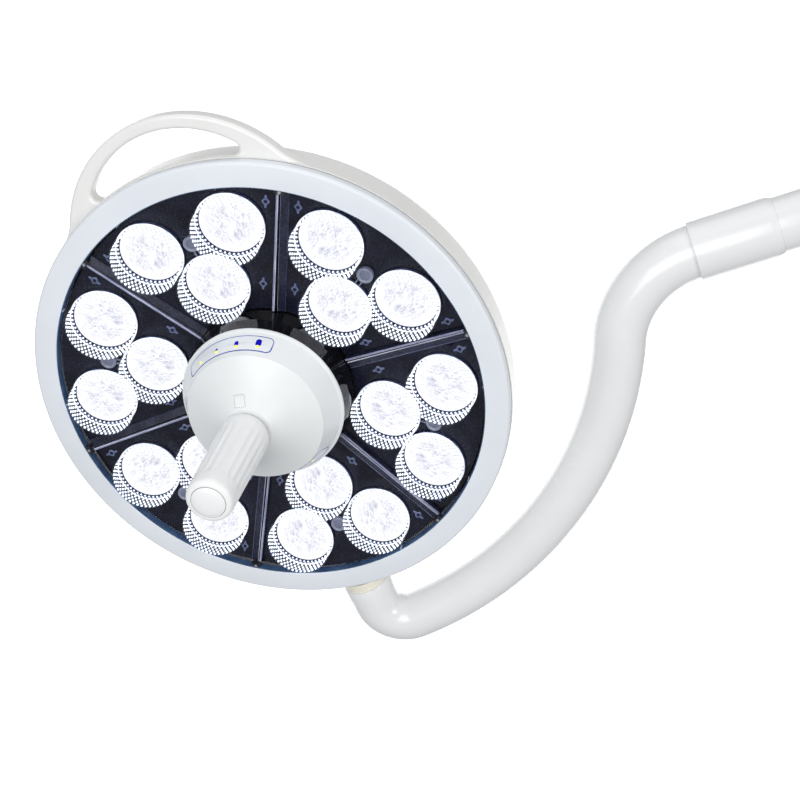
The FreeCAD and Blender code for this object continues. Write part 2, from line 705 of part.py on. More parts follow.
def pivot_bush():
    """Bronze bush pressed in the yoke's end, with the stop's lug under it."""
    bush = along_z(BUSH_R, SHAFT_R + RUN, -STOP_TOP, -TUBE_TOP - 1.6)
    skirt = along_z(BUSH_R, SHAFT_R + 5.0, -STOP_LOW, -STOP_TOP)
    lug = along_z(BUSH_R, SHAFT_R + 0.6, -STOP_LOW, -STOP_TOP)
    lug = lug.common(Part.makeBox(10, 5, 12, V(-BUSH_R, -2.5, -STOP_LOW - 2)))
    return bush.fuse([skirt, lug]).removeSplitter()


def disc_springs():
    """Three disc springs that load the tilt brake."""
    rings = []
    for number in range(3):
        high = -STOP_LOW - 0.4 - number * 2.0
        rings.append(along_z(SHAFT_R + 4.5, SHAFT_R + 0.3, high - 1.6, high))
    return Part.makeCompound(rings)


def pivot_nut():
    """Hexagon nut at the tilt shaft's end."""
    corners = [V(NUT_R * math.cos(math.radians(60 * k)), NUT_R * math.sin(math.radians(60 * k)), 0)
               for k in range(7)]
    nut = Part.Face(Part.makePolygon(corners)).extrude(Z_AXIS * NUT_T)
    nut.translate(V(0, 0, -SHAFT_LOW + 1.5))
    return nut.cut(along_z(SHAFT_R, 0, -SHAFT_LOW - 1, -SHAFT_LOW + NUT_T + 3))


# ---- yoke ----
def on_circle(centre, radius, turn, side=1):
    """The point of a circle where a path of this slope touches it, side 1 below its centre."""
    return centre + V(math.sin(turn), 0, -math.cos(turn)) * radius * side


def bow():
    """Centre and radius of the yoke's long bow, from the elbow's end to the top bend."""
    low = math.radians(LOW_TURN)
    high = math.radians(TOP_TURN)
    rise = ELBOW_DROP + ELBOW_R * math.cos(low) - TOP_R * (1 - math.cos(high))
    radius = rise / (math.cos(low) - math.cos(high))
    elbow_end = on_circle(V(ELBOW_R, 0, -ELBOW_DROP), ELBOW_R, low)
    return elbow_end + V(-math.sin(low), 0, math.cos(low)) * radius, radius


def upper_path(start_turn, end_x):
    """The centre line from a slope on the bow up to the level run."""
    centre, radius = bow()
    high = math.radians(TOP_TURN)
    start = on_circle(centre, radius, start_turn)
    bow_end = on_circle(centre, radius, high)
    top = bow_end + V(math.sin(high), 0, -math.cos(high)) * TOP_R
    top_end = on_circle(top, TOP_R, 0, -1)
    return [Part.Arc(start, on_circle(centre, radius, (start_turn + high) / 2), bow_end).toShape(),
            Part.Arc(bow_end, on_circle(top, TOP_R, high / 2, -1), top_end).toShape(),
            Part.LineSegment(top_end, V(end_x, 0, 0)).toShape()]


def bar_along(edges, radius, start, way):
    """A round bar along a path, from its start point and direction there."""
    section = Part.Wire([Part.Circle(start, way, radius).toShape()])
    bar = Part.Wire(edges).makePipeShell([section], True, False)
    if bar.Volume < 0:
        bar.reverse()
    return bar


def tube_along(edges, start, way):
    """A stretch of the yoke's tube."""
    return bar_along(edges, TUBE_R, start, way).cut(
        bar_along(edges, TUBE_R - TUBE_WALL, start, way))


def yoke_elbow():
    """Lower end of the yoke: the pivot's housing and the tight elbow."""
    low = math.radians(LOW_TURN)
    elbow = V(ELBOW_R, 0, -ELBOW_DROP)
    start = V(0, 0, -ELBOW_DROP)
    edges = [Part.LineSegment(V(0, 0, -TUBE_TOP), start).toShape(),
             Part.Arc(start, on_circle(elbow, ELBOW_R, (low - math.pi / 2) / 2),
                      on_circle(elbow, ELBOW_R, low)).toShape()]
    return tube_along(edges, V(0, 0, -TUBE_TOP), Z_AXIS)


def yoke_bow():
    """Long bow of the yoke, welded between the elbow and the neck."""
    low = math.radians(LOW_TURN)
    centre, radius = bow()
    return tube_along([upper_path(low, YOKE_END)[0]], on_circle(centre, radius, low),
                      V(math.cos(low), 0, math.sin(low)))


def yoke_neck():
    """Upper end of the yoke: the bend back to level and the spindle's seat."""
    high = math.radians(TOP_TURN)
    centre, radius = bow()
    return tube_along(upper_path(high - 0.01, YOKE_END)[1:], on_circle(centre, radius, high),
                      V(math.cos(high), 0, math.sin(high)))


def yoke_cable():
    """Power and control cable: out of the tilt shaft, through the yoke, to the swivel's plug."""
    centre, radius = bow()
    corner = V(0, 0, -CABLE_LOW)
    reach = (corner - centre).Length
    turn = math.asin(corner.sub(centre).x / reach) + math.acos(radius / reach)
    bend = CABLE_BEND_R * math.tan((turn + math.pi / 2) / 2)
    bend_start = corner + Z_AXIS * bend
    bend_end = corner + V(math.cos(turn), 0, math.sin(turn)) * bend
    bend_centre = bend_start + X_AXIS * CABLE_BEND_R
    start = V(0, 0, -CABLE_TOP)
    edges = [Part.LineSegment(start, bend_start).toShape(),
             Part.Arc(bend_start, on_circle(bend_centre, CABLE_BEND_R, (turn - math.pi / 2) / 2),
                      bend_end).toShape(),
             Part.LineSegment(bend_end, on_circle(centre, radius, turn)).toShape()]
    return bar_along(edges + upper_path(turn, SPIGOT_END - 14.2), CABLE_R, start, Z_AXIS)


# ---- swivel and arm end ----
def yoke_spigot():
    """Hollow swivel spindle welded in the yoke's end, with the retaining groove."""
    plug = along_x(TUBE_R - TUBE_WALL - 0.05, 7.0, YOKE_END - 24, YOKE_END)
    shaft = along_x(SPIGOT_R, 7.0, YOKE_END, SPIGOT_END)
    groove = along_x(SPIGOT_R + 1, SPIGOT_R - 3.0, GROOVE_AT, GROOVE_AT + GROOVE_W)
    return plug.fuse(shaft).removeSplitter().cut([groove, swivel_stop_pin()])


def swivel_stop_pin():
    """Cross pin in the spindle that meets the stub's stop lug."""
    return Part.makeCylinder(STOP_R, 7.0, V(SPIGOT_END - 4.0, 0, 9.5), Z_AXIS)


def power_plug():
    """Pin half of the swivel's power jack, on the spindle's end."""
    body = along_x(6.8, 2.0, SPIGOT_END - 14, SPIGOT_END + 1.0)
    tip = Part.makeCylinder(2.0, 12, V(SPIGOT_END - 8, 0, 0), X_AXIS)
    return body.fuse(tip).removeSplitter()


def power_socket():
    """Fixed half of the power jack, held in the arm stub."""
    return along_x(STUB_BORE_R, 2.3, SPIGOT_END + 1.3, SPIGOT_END + 5.0)


def arm_stub():
    """End tube of the suspension arm: bushes' seat, segment window, stop lug and arm socket."""
    tube = along_x(TUBE_R, STUB_BORE_R, STUB_START, ARM_REACH)
    socket = Part.makeCylinder(STUB_SEAT_R, STUB_SEAT_L, V(ARM_REACH - STUB_SEAT_L, 0, 0), X_AXIS)
    tube = tube.cut(socket)
    window = Part.makeBox(GROOVE_W, 60, 40, V(GROOVE_AT, -30, 0))
    tube = tube.cut(window)
    lug = along_x(STUB_BORE_R + 1, SPIGOT_R + 0.4, SPIGOT_END - 7, SPIGOT_END - 1.0)
    lug = lug.common(Part.makeBox(20, 5, 20, V(SPIGOT_END - 12, -2.5, -TUBE_R)))
    tube = tube.fuse(lug).removeSplitter()
    for side in BRAKE_ANGLES:
        tube = tube.cut(brake_screw(side, 30))
    return tube


def brake_screw(angle, length):
    """A radial grub screw that presses on the spindle."""
    screw = Part.makeCylinder(BRAKE_R, length, V(BRAKE_AT, 0, -SPIGOT_R - 0.15), -Z_AXIS)
    screw.rotate(ORIGIN, X_AXIS, angle)
    return screw


def brake_screws():
    return Part.makeCompound([brake_screw(angle, 9.5) for angle in BRAKE_ANGLES])


def swivel_bushes():
    """Two bronze bushes between the stub and the spindle."""
    near = along_x(STUB_BORE_R, SPIGOT_R + RUN, STUB_START, GROOVE_AT - 1)
    far = along_x(STUB_BORE_R, SPIGOT_R + RUN, BRAKE_AT + 5, SPIGOT_END - 8)
    return Part.makeCompound([near, far])


def retaining_segment():
    """Half-ring key that drops through the stub's window into the spindle's groove."""
    key = along_x(TUBE_R - 0.4, SPIGOT_R - 2.6, GROOVE_AT + 0.3, GROOVE_AT + GROOVE_W - 0.3)
    return key.common(Part.makeBox(20, 60, 30, V(GROOVE_AT - 8, -30, 0.5)))


def swivel_sleeve():
    """Cover sleeve over the swivel, tapered at the arm's end; it slides up the arm."""
    sleeve = along_x(SLEEVE_R, SLEEVE_R - SLEEVE_T, SLEEVE_START, SLEEVE_END - SLEEVE_TAPER)
    end = Part.makeCone(SLEEVE_R, SLEEVE_R - SLEEVE_T + 0.6, SLEEVE_TAPER,
                        V(SLEEVE_END - SLEEVE_TAPER, 0, 0), X_AXIS)
    bore = Part.makeCylinder(SLEEVE_R - SLEEVE_T, SLEEVE_TAPER,
                             V(SLEEVE_END - SLEEVE_TAPER, 0, 0), X_AXIS)
    return sleeve.fuse(end.cut(bore)).removeSplitter()


# ---- export ----
def save(name, shape):
    shape.exportStep("parts/" + name + ".step")
    box = shape.BoundBox
    print("%-20s solids %2d valid %s volume %9.0f box %.0f %.0f %.0f" % (
        name, len(shape.Solids), shape.isValid(), shape.Volume,
        box.XLength, box.YLength, box.ZLength))


os.makedirs("parts", exist_ok=True)

HEAD_NODES = {
    "rear_housing": rear_housing, "loop_handle": loop_handle, "bezel": bezel, "bezel_seal": bezel_seal,
    "chassis": chassis, "heat_sinks": heat_sinks, "led_emitters": led_emitters,
    "sector_gaskets": sector_gaskets, "rim_clips": rim_clips, "rim_screws": rim_screws,
    "driver_board": driver_board, "housing_screws": housing_screws,
    "hub_collar": hub_collar, "hub_cover": hub_cover, "indicator_leds": indicator_leds,
    "control_board": control_board, "handle_spindle": handle_spindle,
    "handle_grip": handle_grip, "handle_cap": handle_cap,
    "latch_button": latch_button, "latch_spring": latch_spring,
    "pivot_plate": pivot_plate, "pivot_shaft": pivot_shaft,
    "disc_springs": disc_springs, "pivot_nut": pivot_nut,
}

YOKE_NODES = {
    "yoke_elbow": yoke_elbow, "yoke_bow": yoke_bow, "yoke_neck": yoke_neck,
    "yoke_cable": yoke_cable, "pivot_collar": pivot_collar,
    "pivot_bush": pivot_bush, "yoke_spigot": yoke_spigot, "swivel_stop_pin": swivel_stop_pin,
    "power_plug": power_plug, "power_socket": power_socket, "arm_stub": arm_stub,
    "brake_screws": brake_screws, "swivel_bushes": swivel_bushes,
    "retaining_segment": retaining_segment, "swivel_sleeve": swivel_sleeve,
}

for node, make in HEAD_NODES.items():
    save(node, in_head(make()))

for node, make in YOKE_NODES.items():
    save(node, in_yoke(make()))

taken = [ring(COLLAR_R + 0.6, 1.0, -40.0, CHASSIS_DEPTH)] + clip_blocks(0.05)
for name, make in (("sector_plate", sector_plate), ("lens_collars", lens_collars)):
    piece = make()
    for number in range(SECTORS):
        placed = in_sector(piece, number).cut(taken)
        save("%s_%d" % (name, number + 1), in_head(placed))

for name, make in (("lens_trios", lens_trio), ("led_boards", led_board)):
    piece = make()
    save(name, in_head(Part.makeCompound([in_sector(piece, number) for number in range(SECTORS)])))

for side, middle in zip(("upper", "lower"), KEYPAD_MIDDLES):
    save("keypad_" + side, in_head(keypad(middle, KEYPAD_SPAN)))
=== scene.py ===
import bpy
import math
from mathutils import Matrix, Vector
from mathutils.geometry import delaunay_2d_cdt


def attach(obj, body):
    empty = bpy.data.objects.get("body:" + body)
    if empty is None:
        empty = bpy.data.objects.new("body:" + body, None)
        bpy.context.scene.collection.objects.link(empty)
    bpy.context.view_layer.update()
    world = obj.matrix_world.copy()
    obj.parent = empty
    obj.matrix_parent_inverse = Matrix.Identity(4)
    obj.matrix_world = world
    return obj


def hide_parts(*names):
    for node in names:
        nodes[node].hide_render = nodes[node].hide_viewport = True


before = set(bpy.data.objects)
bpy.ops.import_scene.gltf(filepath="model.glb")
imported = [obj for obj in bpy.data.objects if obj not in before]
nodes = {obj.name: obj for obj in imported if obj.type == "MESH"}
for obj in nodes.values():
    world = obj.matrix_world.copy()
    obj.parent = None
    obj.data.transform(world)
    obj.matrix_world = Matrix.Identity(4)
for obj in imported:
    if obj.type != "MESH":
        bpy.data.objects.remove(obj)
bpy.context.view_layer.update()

# ---- frames: shapes are drawn in millimetres in the head's, a sector's or the yoke's axes ----
MM = Matrix.Scale(0.001, 4)
REACH = 540.0               # swivel to head centre
PIVOT_DEPTH = 24.6          # tilt axis behind the bezel's front plane
HEAD_TURN = math.radians(-5.8)
HEAD = MM @ Matrix.Translation((-REACH, 0, 0)) @ Matrix.Rotation(HEAD_TURN, 4, "Z")
YOKE = MM @ Matrix.Translation((-REACH, 0, 0))
SECTORS = 6
SECTOR_STEP = 60.0
SECTOR_FIRST = -2.0         # first sector's middle, degrees from straight up
TILT = math.radians(7.4)    # each plate's lean towards the head's axis
DISH = 31.7                 # depth where the plates' planes meet the axis


def sector_matrix(number):
    """Sector axes (along, across, out) to the world."""
    turn = math.radians(SECTOR_FIRST + SECTOR_STEP * number)
    radial = Vector((math.sin(turn), 0, math.cos(turn)))
    back = Vector((0, 1, 0))
    along = radial * math.cos(TILT) - back * math.sin(TILT)
    across = Vector((-math.cos(turn), 0, math.sin(turn)))
    out = back * -math.cos(TILT) - radial * math.sin(TILT)
    m = Matrix((along, across, out)).transposed().to_4x4()
    m.translation = Vector((0, DISH - PIVOT_DEPTH, 0))
    return HEAD @ m


# ---- materials ----
def links(mat):
    """A new material's node tree and its shader."""
    mat.use_nodes = True
    tree = mat.node_tree
    return tree, tree.nodes["Principled BSDF"]


def add(tree, kind, **values):
    """A node with some sockets or settings given."""
    node = tree.nodes.new(kind)
    for key, value in values.items():
        if key in node.inputs:
            node.inputs[key].default_value = value
        else:
            setattr(node, key, value)
    return node


def ramp(tree, source, stops):
    """Colour from a 0..1 value by (place, colour) stops."""
    node = tree.nodes.new("ShaderNodeValToRGB")
    band = node.color_ramp
    while len(band.elements) < len(stops):
        band.elements.new(0.5)
    for element, (place, colour) in zip(band.elements, stops):
        element.position = place
        element.color = (*colour, 1)
    tree.links.new(source, node.inputs["Fac"])
    return node.outputs["Color"]


def grey(*values):
    """Stops of plain grey levels."""
    return [(place, (level,) * 3) for place, level in values]


def surface(name, light, dark, rough, peel=0.0, peel_scale=600.0, cloud=18.0, speck=None,
            emission=0.0, **sockets):
    """A moulded or painted finish: cloudy colour, uneven gloss, fine relief and optional specks,
    with an optional glow that some looks use as painted light.
    """
    mat = bpy.data.materials.new(name)
    tree, shader = links(mat)
    place = add(tree, "ShaderNodeTexCoord").outputs["Object"]
    soft = add(tree, "ShaderNodeTexNoise", Scale=cloud, Detail=4.0, Roughness=0.55)
    tree.links.new(place, soft.inputs["Vector"])
    colour = ramp(tree, soft.outputs["Fac"], [(0.3, dark), (0.7, light)])
    if speck:
        amount, tint, scale = speck
        dots = add(tree, "ShaderNodeTexNoise", Scale=scale, Detail=2.0, Roughness=0.7)
        tree.links.new(place, dots.inputs["Vector"])
        mask = ramp(tree, dots.outputs["Fac"], grey((amount, 0.0), (amount + 0.12, 1.0)))
        mix = add(tree, "ShaderNodeMix", data_type="RGBA")
        tree.links.new(mask, mix.inputs["Factor"])
        tree.links.new(colour, mix.inputs["A"])
        mix.inputs["B"].default_value = (*tint, 1)
        colour = mix.outputs["Result"]
    tree.links.new(colour, shader.inputs["Base Color"])
    gloss = ramp(tree, soft.outputs["Fac"], grey((0.25, rough[0]), (0.75, rough[1])))
    tree.links.new(gloss, shader.inputs["Roughness"])
    if peel:
        fine = add(tree, "ShaderNodeTexNoise", Scale=peel_scale, Detail=3.0, Roughness=0.6)
        tree.links.new(place, fine.inputs["Vector"])
        bump = add(tree, "ShaderNodeBump", Strength=peel, Distance=0.0004)
        tree.links.new(fine.outputs["Fac"], bump.inputs["Height"])
        tree.links.new(bump.outputs["Normal"], shader.inputs["Normal"])
    if emission:
        tree.links.new(colour, shader.inputs["Emission Color"])
        shader.inputs["Emission Strength"].default_value = emission
    for key, value in sockets.items():
        shader.inputs[key.replace("_", " ")].default_value = value
    return mat


def lens_light():
    """Lit lens face: over-bright, with a fine pebble and a faint violet-grey swirl."""
    mat = bpy.data.materials.new("lens_light")
    tree, shader = links(mat)
    uv = add(tree, "ShaderNodeTexCoord").outputs["UV"]
    cells = add(tree, "ShaderNodeTexVoronoi", Scale=11.0, feature="DISTANCE_TO_EDGE")
    tree.links.new(uv, cells.inputs["Vector"])
    pebble = ramp(tree, cells.outputs["Distance"],
                  [(0.0, (0.62, 0.64, 0.74)), (0.16, (1.0, 1.0, 1.0))])
    stretch = add(tree, "ShaderNodeMapping")
    stretch.inputs["Scale"].default_value = (1.0, 2.4, 1.0)
    stretch.inputs["Rotation"].default_value = (0.0, 0.0, 0.6)
    tree.links.new(uv, stretch.inputs["Vector"])
    swirl = add(tree, "ShaderNodeTexNoise", Scale=3.6, Detail=9.0, Roughness=0.78, Distortion=0.9)
    tree.links.new(stretch.outputs["Vector"], swirl.inputs["Vector"])
    cloud = ramp(tree, swirl.outputs["Fac"],
                 [(0.34, (0.34, 0.35, 0.44)), (0.45, (0.66, 0.67, 0.76)), (0.53, (1.0, 1.0, 1.0))])
    length = add(tree, "ShaderNodeVectorMath", operation="LENGTH")
    tree.links.new(uv, length.inputs[0])
    where = ramp(tree, length.outputs["Value"],
                 grey((0.10, 0.25), (0.32, 1.0), (0.60, 0.7), (0.90, 0.15)))
    blend = add(tree, "ShaderNodeMix", data_type="RGBA")
    tree.links.new(where, blend.inputs["Factor"])
    blend.inputs["A"].default_value = (1, 1, 1, 1)
    tree.links.new(cloud, blend.inputs["B"])
    both = add(tree, "ShaderNodeMix", data_type="RGBA", blend_type="MULTIPLY")
    both.inputs["Factor"].default_value = 0.55
    tree.links.new(blend.outputs["Result"], both.inputs["A"])
    tree.links.new(pebble, both.inputs["B"])
    tree.links.new(both.outputs["Result"], shader.inputs["Emission Color"])
    shader.inputs["Emission Strength"].default_value = 1.06
    shader.inputs["Base Color"].default_value = (0.05, 0.05, 0.06, 1)
    shader.inputs["Roughness"].default_value = 0.35
    return mat


def clear(name, tint, rough, alpha):
    """Clear moulding: tinted, glossy and mostly see-through, with faint flow marks."""
    mat = bpy.data.materials.new(name)
    tree, shader = links(mat)
    place = add(tree, "ShaderNodeTexCoord").outputs["Object"]
    flow = add(tree, "ShaderNodeTexNoise", Scale=160.0, Detail=3.0)
    tree.links.new(place, flow.inputs["Vector"])
    dim = tuple(0.8 * c for c in tint)
    colour = ramp(tree, flow.outputs["Fac"], [(0.35, dim), (0.65, tint)])
    tree.links.new(colour, shader.inputs["Base Color"])
    gloss = ramp(tree, flow.outputs["Fac"], grey((0.3, rough), (0.7, rough * 1.8)))
    tree.links.new(gloss, shader.inputs["Roughness"])
    shader.inputs["Alpha"].default_value = alpha
    return mat


def brushed(name, light, dark, scale):
    """Machined or drawn metal with fine streaks."""
    mat = bpy.data.materials.new(name)
    tree, shader = links(mat)
    place = add(tree, "ShaderNodeTexCoord").outputs["Object"]
    stretch = add(tree, "ShaderNodeMapping")
    stretch.inputs["Scale"].default_value = (1.0, 9.0, 1.0)
    tree.links.new(place, stretch.inputs["Vector"])
    grain = add(tree, "ShaderNodeTexNoise", Scale=scale, Detail=5.0, Roughness=0.7)
    tree.links.new(stretch.outputs["Vector"], grain.inputs["Vector"])
    tree.links.new(ramp(tree, grain.outputs["Fac"], [(0.3, dark), (0.7, light)]),
                   shader.inputs["Base Color"])
    tree.links.new(ramp(tree, grain.outputs["Fac"], grey((0.3, 0.28), (0.7, 0.45))),
                   shader.inputs["Roughness"])
    shader.inputs["Metallic"].default_value = 1.0
    return mat


PAINT = surface("white_paint", (0.855, 0.86, 0.865), (0.825, 0.83, 0.835), (0.20, 0.30), peel=0.10,
                Coat_Weight=0.35, Coat_Roughness=0.12)
SHELL = surface("shell_paint", (0.87, 0.865, 0.845), (0.84, 0.83, 0.81), (0.26, 0.36), peel=0.12,
                Coat_Weight=0.25, Coat_Roughness=0.15)
FRONT = surface("bezel_paint", (0.80, 0.83, 0.87), (0.77, 0.80, 0.85), (0.34, 0.44), peel=0.14,
                Coat_Weight=0.12, Coat_Roughness=0.2)
HUB = surface("hub_plastic", (0.83, 0.85, 0.85), (0.80, 0.82, 0.82), (0.30, 0.40), peel=0.10,
              Coat_Weight=0.15, Coat_Roughness=0.2)
GRIP = surface("grip_plastic", (0.92, 0.92, 0.915), (0.89, 0.89, 0.885), (0.30, 0.42), peel=0.12,
               Coat_Weight=0.15, Coat_Roughness=0.2)
CREAM = surface("neck_plastic", (0.88, 0.85, 0.74), (0.82, 0.78, 0.66), (0.4, 0.55), peel=0.2)
# SHADE: grey frame round the latch button, painted shade in the gap of its seam
SHADE = surface("seam_painted_shade", (0.50, 0.51, 0.50), (0.38, 0.39, 0.38), (0.5, 0.7), cloud=300.0)
SEAM = surface("seam_shadow", (0.16, 0.12, 0.08), (0.10, 0.08, 0.06), (0.6, 0.8), peel=0.2)
PLATE = surface("plate_black", (0.008, 0.009, 0.022), (0.002, 0.002, 0.006), (0.08, 0.30),
                peel=0.22, peel_scale=900.0, cloud=45.0,
                speck=(0.60, (0.075, 0.08, 0.14), 1500.0), Specular_IOR_Level=0.34)
BAND = surface("plate_band", (0.022, 0.024, 0.050), (0.007, 0.008, 0.020), (0.15, 0.40), peel=0.3,
               peel_scale=900.0, cloud=60.0, speck=(0.58, (0.10, 0.11, 0.18), 1400.0),
               Specular_IOR_Level=0.3)
EDGE = surface("plate_edge_lit", (0.26, 0.28, 0.42), (0.12, 0.13, 0.22), (0.2, 0.35), cloud=70.0,
               speck=(0.56, (0.46, 0.48, 0.64), 800.0), Specular_IOR_Level=0.4)
# BRIM: glowing painted highlight along the lips of the slits between plates
BRIM = surface("plate_lip_painted_highlight", (0.85, 0.88, 0.98), (0.40, 0.42, 0.56), (0.12, 0.25),
               cloud=42.0, emission=0.12)
# GLINT: painted highlight on the crests and ends of the band and rib
GLINT = surface("plate_crest_painted_highlight", (0.42, 0.44, 0.62), (0.16, 0.17, 0.28), (0.15, 0.3), cloud=55.0)
LUG = surface("plate_lug", (0.14, 0.17, 0.32), (0.08, 0.10, 0.20), (0.25, 0.4), cloud=300.0)
PIT = surface("pit_black", (0.004, 0.004, 0.006), (0.002, 0.002, 0.003), (0.5, 0.7), peel=0.1)
COLLAR = surface("collar_black", (0.006, 0.006, 0.009), (0.003, 0.003, 0.004), (0.05, 0.10),
                 peel=0.05, Specular_IOR_Level=0.45)
RIM = surface("rim_wall", (0.07, 0.13, 0.24), (0.03, 0.06, 0.13), (0.12, 0.3), cloud=60.0)
TICK = surface("rim_tick", (0.60, 0.68, 0.78), (0.4, 0.48, 0.58), (0.3, 0.4), cloud=200.0)
RUBBER = surface("seal_rubber", (0.10, 0.10, 0.10), (0.06, 0.06, 0.06), (0.6, 0.8), peel=0.5)
BLACK = surface("clip_black", (0.02, 0.02, 0.022), (0.01, 0.01, 0.012), (0.4, 0.6), peel=0.5)
LENS = lens_light()
# GLEAM: the collar beads glow, painted light from the lenses caught in the clear collar
GLEAM = surface("facet_painted_glow", (0.97, 0.98, 1.0), (0.52, 0.60, 0.74), (0.1, 0.2), cloud=700.0,
                emission=0.85)
MOAT = surface("lens_wall", (0.07, 0.10, 0.22), (0.008, 0.010, 0.020), (0.2, 0.4), cloud=260.0,
               speck=(0.62, (0.35, 0.42, 0.55), 900.0))
# RING: the ring round each lens glows, painted light from the lens
RING = surface("ring_painted_glow", (0.95, 0.96, 1.0), (0.45, 0.48, 0.60), (0.08, 0.2), cloud=140.0,
               emission=0.75)
CLEAR = clear("collar_clear", (0.30, 0.34, 0.42), 0.10, 0.07)
FROST = clear("post_frosted", (0.20, 0.21, 0.30), 0.35, 0.85)
POST_RIM = clear("post_rim", (0.27, 0.29, 0.38), 0.25, 0.9)
PAD = surface("keypad_film", (0.83, 0.85, 0.87), (0.80, 0.825, 0.85), (0.3, 0.36), cloud=60.0)
BLUE = surface("print_blue", (0.003, 0.004, 0.56), (0.002, 0.003, 0.44), (0.5, 0.6), cloud=200.0,
               Specular_IOR_Level=0.1)
BLUE_LINE = surface("print_line", (0.03, 0.06, 0.42), (0.02, 0.04, 0.34), (0.4, 0.5), cloud=200.0,
                    Specular_IOR_Level=0.2)
YELLOW = surface("lamp_yellow", (0.95, 0.90, 0.08), (0.85, 0.78, 0.05), (0.2, 0.3), cloud=300.0,
                 emission=0.5)
STEEL = brushed("steel", (0.62, 0.63, 0.65), (0.48, 0.49, 0.51), 900.0)
ALUMINIUM = brushed("aluminium", (0.78, 0.79, 0.80), (0.66, 0.67, 0.69), 500.0)
BRONZE = brushed("bronze", (0.66, 0.47, 0.22), (0.50, 0.34, 0.15), 600.0)
BOARD = surface("board_green", (0.02, 0.16, 0.07), (0.015, 0.11, 0.05), (0.35, 0.5), peel=0.4,
                cloud=80.0, speck=(0.62, (0.55, 0.45, 0.2), 700.0))
CHIP = surface("emitter_yellow", (0.95, 0.88, 0.45), (0.88, 0.8, 0.35), (0.3, 0.4), cloud=400.0)
JACKET = surface("cable_jacket", (0.50, 0.50, 0.51), (0.44, 0.44, 0.45), (0.5, 0.65), peel=0.4)
PLUG = surface("connector_black", (0.05, 0.05, 0.05), (0.03, 0.03, 0.03), (0.4, 0.55), peel=0.4)

# CAD pieces shown as they are, with their finishes
CAD_LOOKS = {
    "rear_housing": SHELL, "loop_handle": SHELL, "bezel_seal": RUBBER, "chassis": BLACK,
    "heat_sinks": ALUMINIUM, "led_boards": ALUMINIUM, "led_emitters": CHIP, "sector_gaskets": PIT,
    "rim_clips": BLACK, "rim_screws": STEEL, "driver_board": BOARD, "control_board": BOARD,
    "housing_screws": STEEL, "indicator_leds": YELLOW, "handle_spindle": STEEL,
    "pivot_plate": STEEL, "pivot_shaft": STEEL, "disc_springs": STEEL, "pivot_nut": STEEL,
    "latch_spring": STEEL, "pivot_bush": BRONZE, "yoke_spigot": STEEL, "swivel_stop_pin": STEEL,
    "power_plug": PLUG, "power_socket": PLUG, "yoke_cable": JACKET, "swivel_bushes": BRONZE,
    "retaining_segment": STEEL, "brake_screws": STEEL, "latch_button": HUB,
}
for name, look in CAD_LOOKS.items():
    mesh = nodes[name].data
    mesh.materials.clear()
    mesh.materials.append(look)
    for face in mesh.polygons:
        face.material_index = 0


# ---- mesh helpers ----
def build(name, verts, faces, place, looks, body, which=None, slot=None, stands_for=(), crease=32.0,
          uvs=None, rounded=0.0):
    """A mesh piece from millimetre points, smooth-shaded with creases, riding on a body."""
    mesh = bpy.data.meshes.new(name)
    mesh.from_pydata([place @ Vector(v) for v in verts], [], faces)
    if place.to_3x3().determinant() < 0:
        mesh.flip_normals()
    for look in looks:
        mesh.materials.append(look)
    if which:
        for face, index in zip(mesh.polygons, which):
            face.material_index = index
    if uvs:
        layer = mesh.uv_layers.new(name="local")
        for loop in mesh.loops:
            layer.data[loop.index].uv = uvs[loop.vertex_index]
    mesh.shade_smooth()
    mesh.set_sharp_from_angle(angle=math.radians(crease))
    piece = bpy.data.objects.new(name, mesh)
    bpy.context.scene.collection.objects.link(piece)
    if rounded:
        bevel = piece.modifiers.new("edges", "BEVEL")
        bevel.width = rounded / 1000
        bevel.segments = 2
        bevel.limit_method = "ANGLE"
        bevel.angle_limit = math.radians(40)
    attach(piece, body)
    if stands_for:
        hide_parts(*stands_for)
    return piece


def circle(x, y, radius, high, around):
    """Points round a level circle."""
    turns = [2 * math.pi * k / around for k in range(around)]
    return [(x + radius * math.cos(turn), y + radius * math.sin(turn), high) for turn in turns]


def hoop(radius, depth, around):
    """Points round the head's axis at a depth behind the bezel plane."""
    turns = [2 * math.pi * k / around for k in range(around)]
    return [(radius * math.sin(turn), depth - PIVOT_DEPTH, radius * math.cos(turn))
            for turn in turns]


def bands(base, rows, around, closed=False, flip=False):
    """Quads between rings of points that follow each other; closed joins the last to the first."""
    faces = []
    for row in range(rows if closed else rows - 1):
        p, q = base + row * around, base + (row + 1) % rows * around
        for k in range(around):
            j = (k + 1) % around
            faces.append((p + k, p + j, q + j, q + k) if flip else (p + k, q + k, q + j, p + j))
    return faces


def corner_arc(before, corner, after, radius, count=5):
    """Points that round a corner of a profile."""
    a = Vector(before) - Vector(corner)
    b = Vector(after) - Vector(corner)
    half = a.angle(b) / 2
    reach = min(radius / math.tan(half), a.length * 0.49, b.length * 0.49)
    radius = reach * math.tan(half)
    middle = (a.normalized() + b.normalized()).normalized()
    centre = Vector(corner) + middle * (radius / math.sin(half))
    start = Vector(corner) + a.normalized() * reach - centre
    end = Vector(corner) + b.normalized() * reach - centre
    sweep = start.angle(end)
    points = []
    for k in range(count + 1):
        t = k / count
        way = (start * math.sin((1 - t) * sweep) + end * math.sin(t * sweep)) / math.sin(sweep)
        points.append(tuple(centre + way))
    return points


def soften(profile, closed=True):
    """A profile of (a, b, radius) corners with each one rounded."""
    points = []
    count = len(profile)
    for k, (a, b, radius) in enumerate(profile):
        if radius <= 0 or (not closed and k in (0, count - 1)):
            points.append((a, b))
            continue
        before = profile[k - 1][:2]
        after = profile[(k + 1) % count][:2]
        points += corner_arc(before, (a, b), after, radius)
    return points


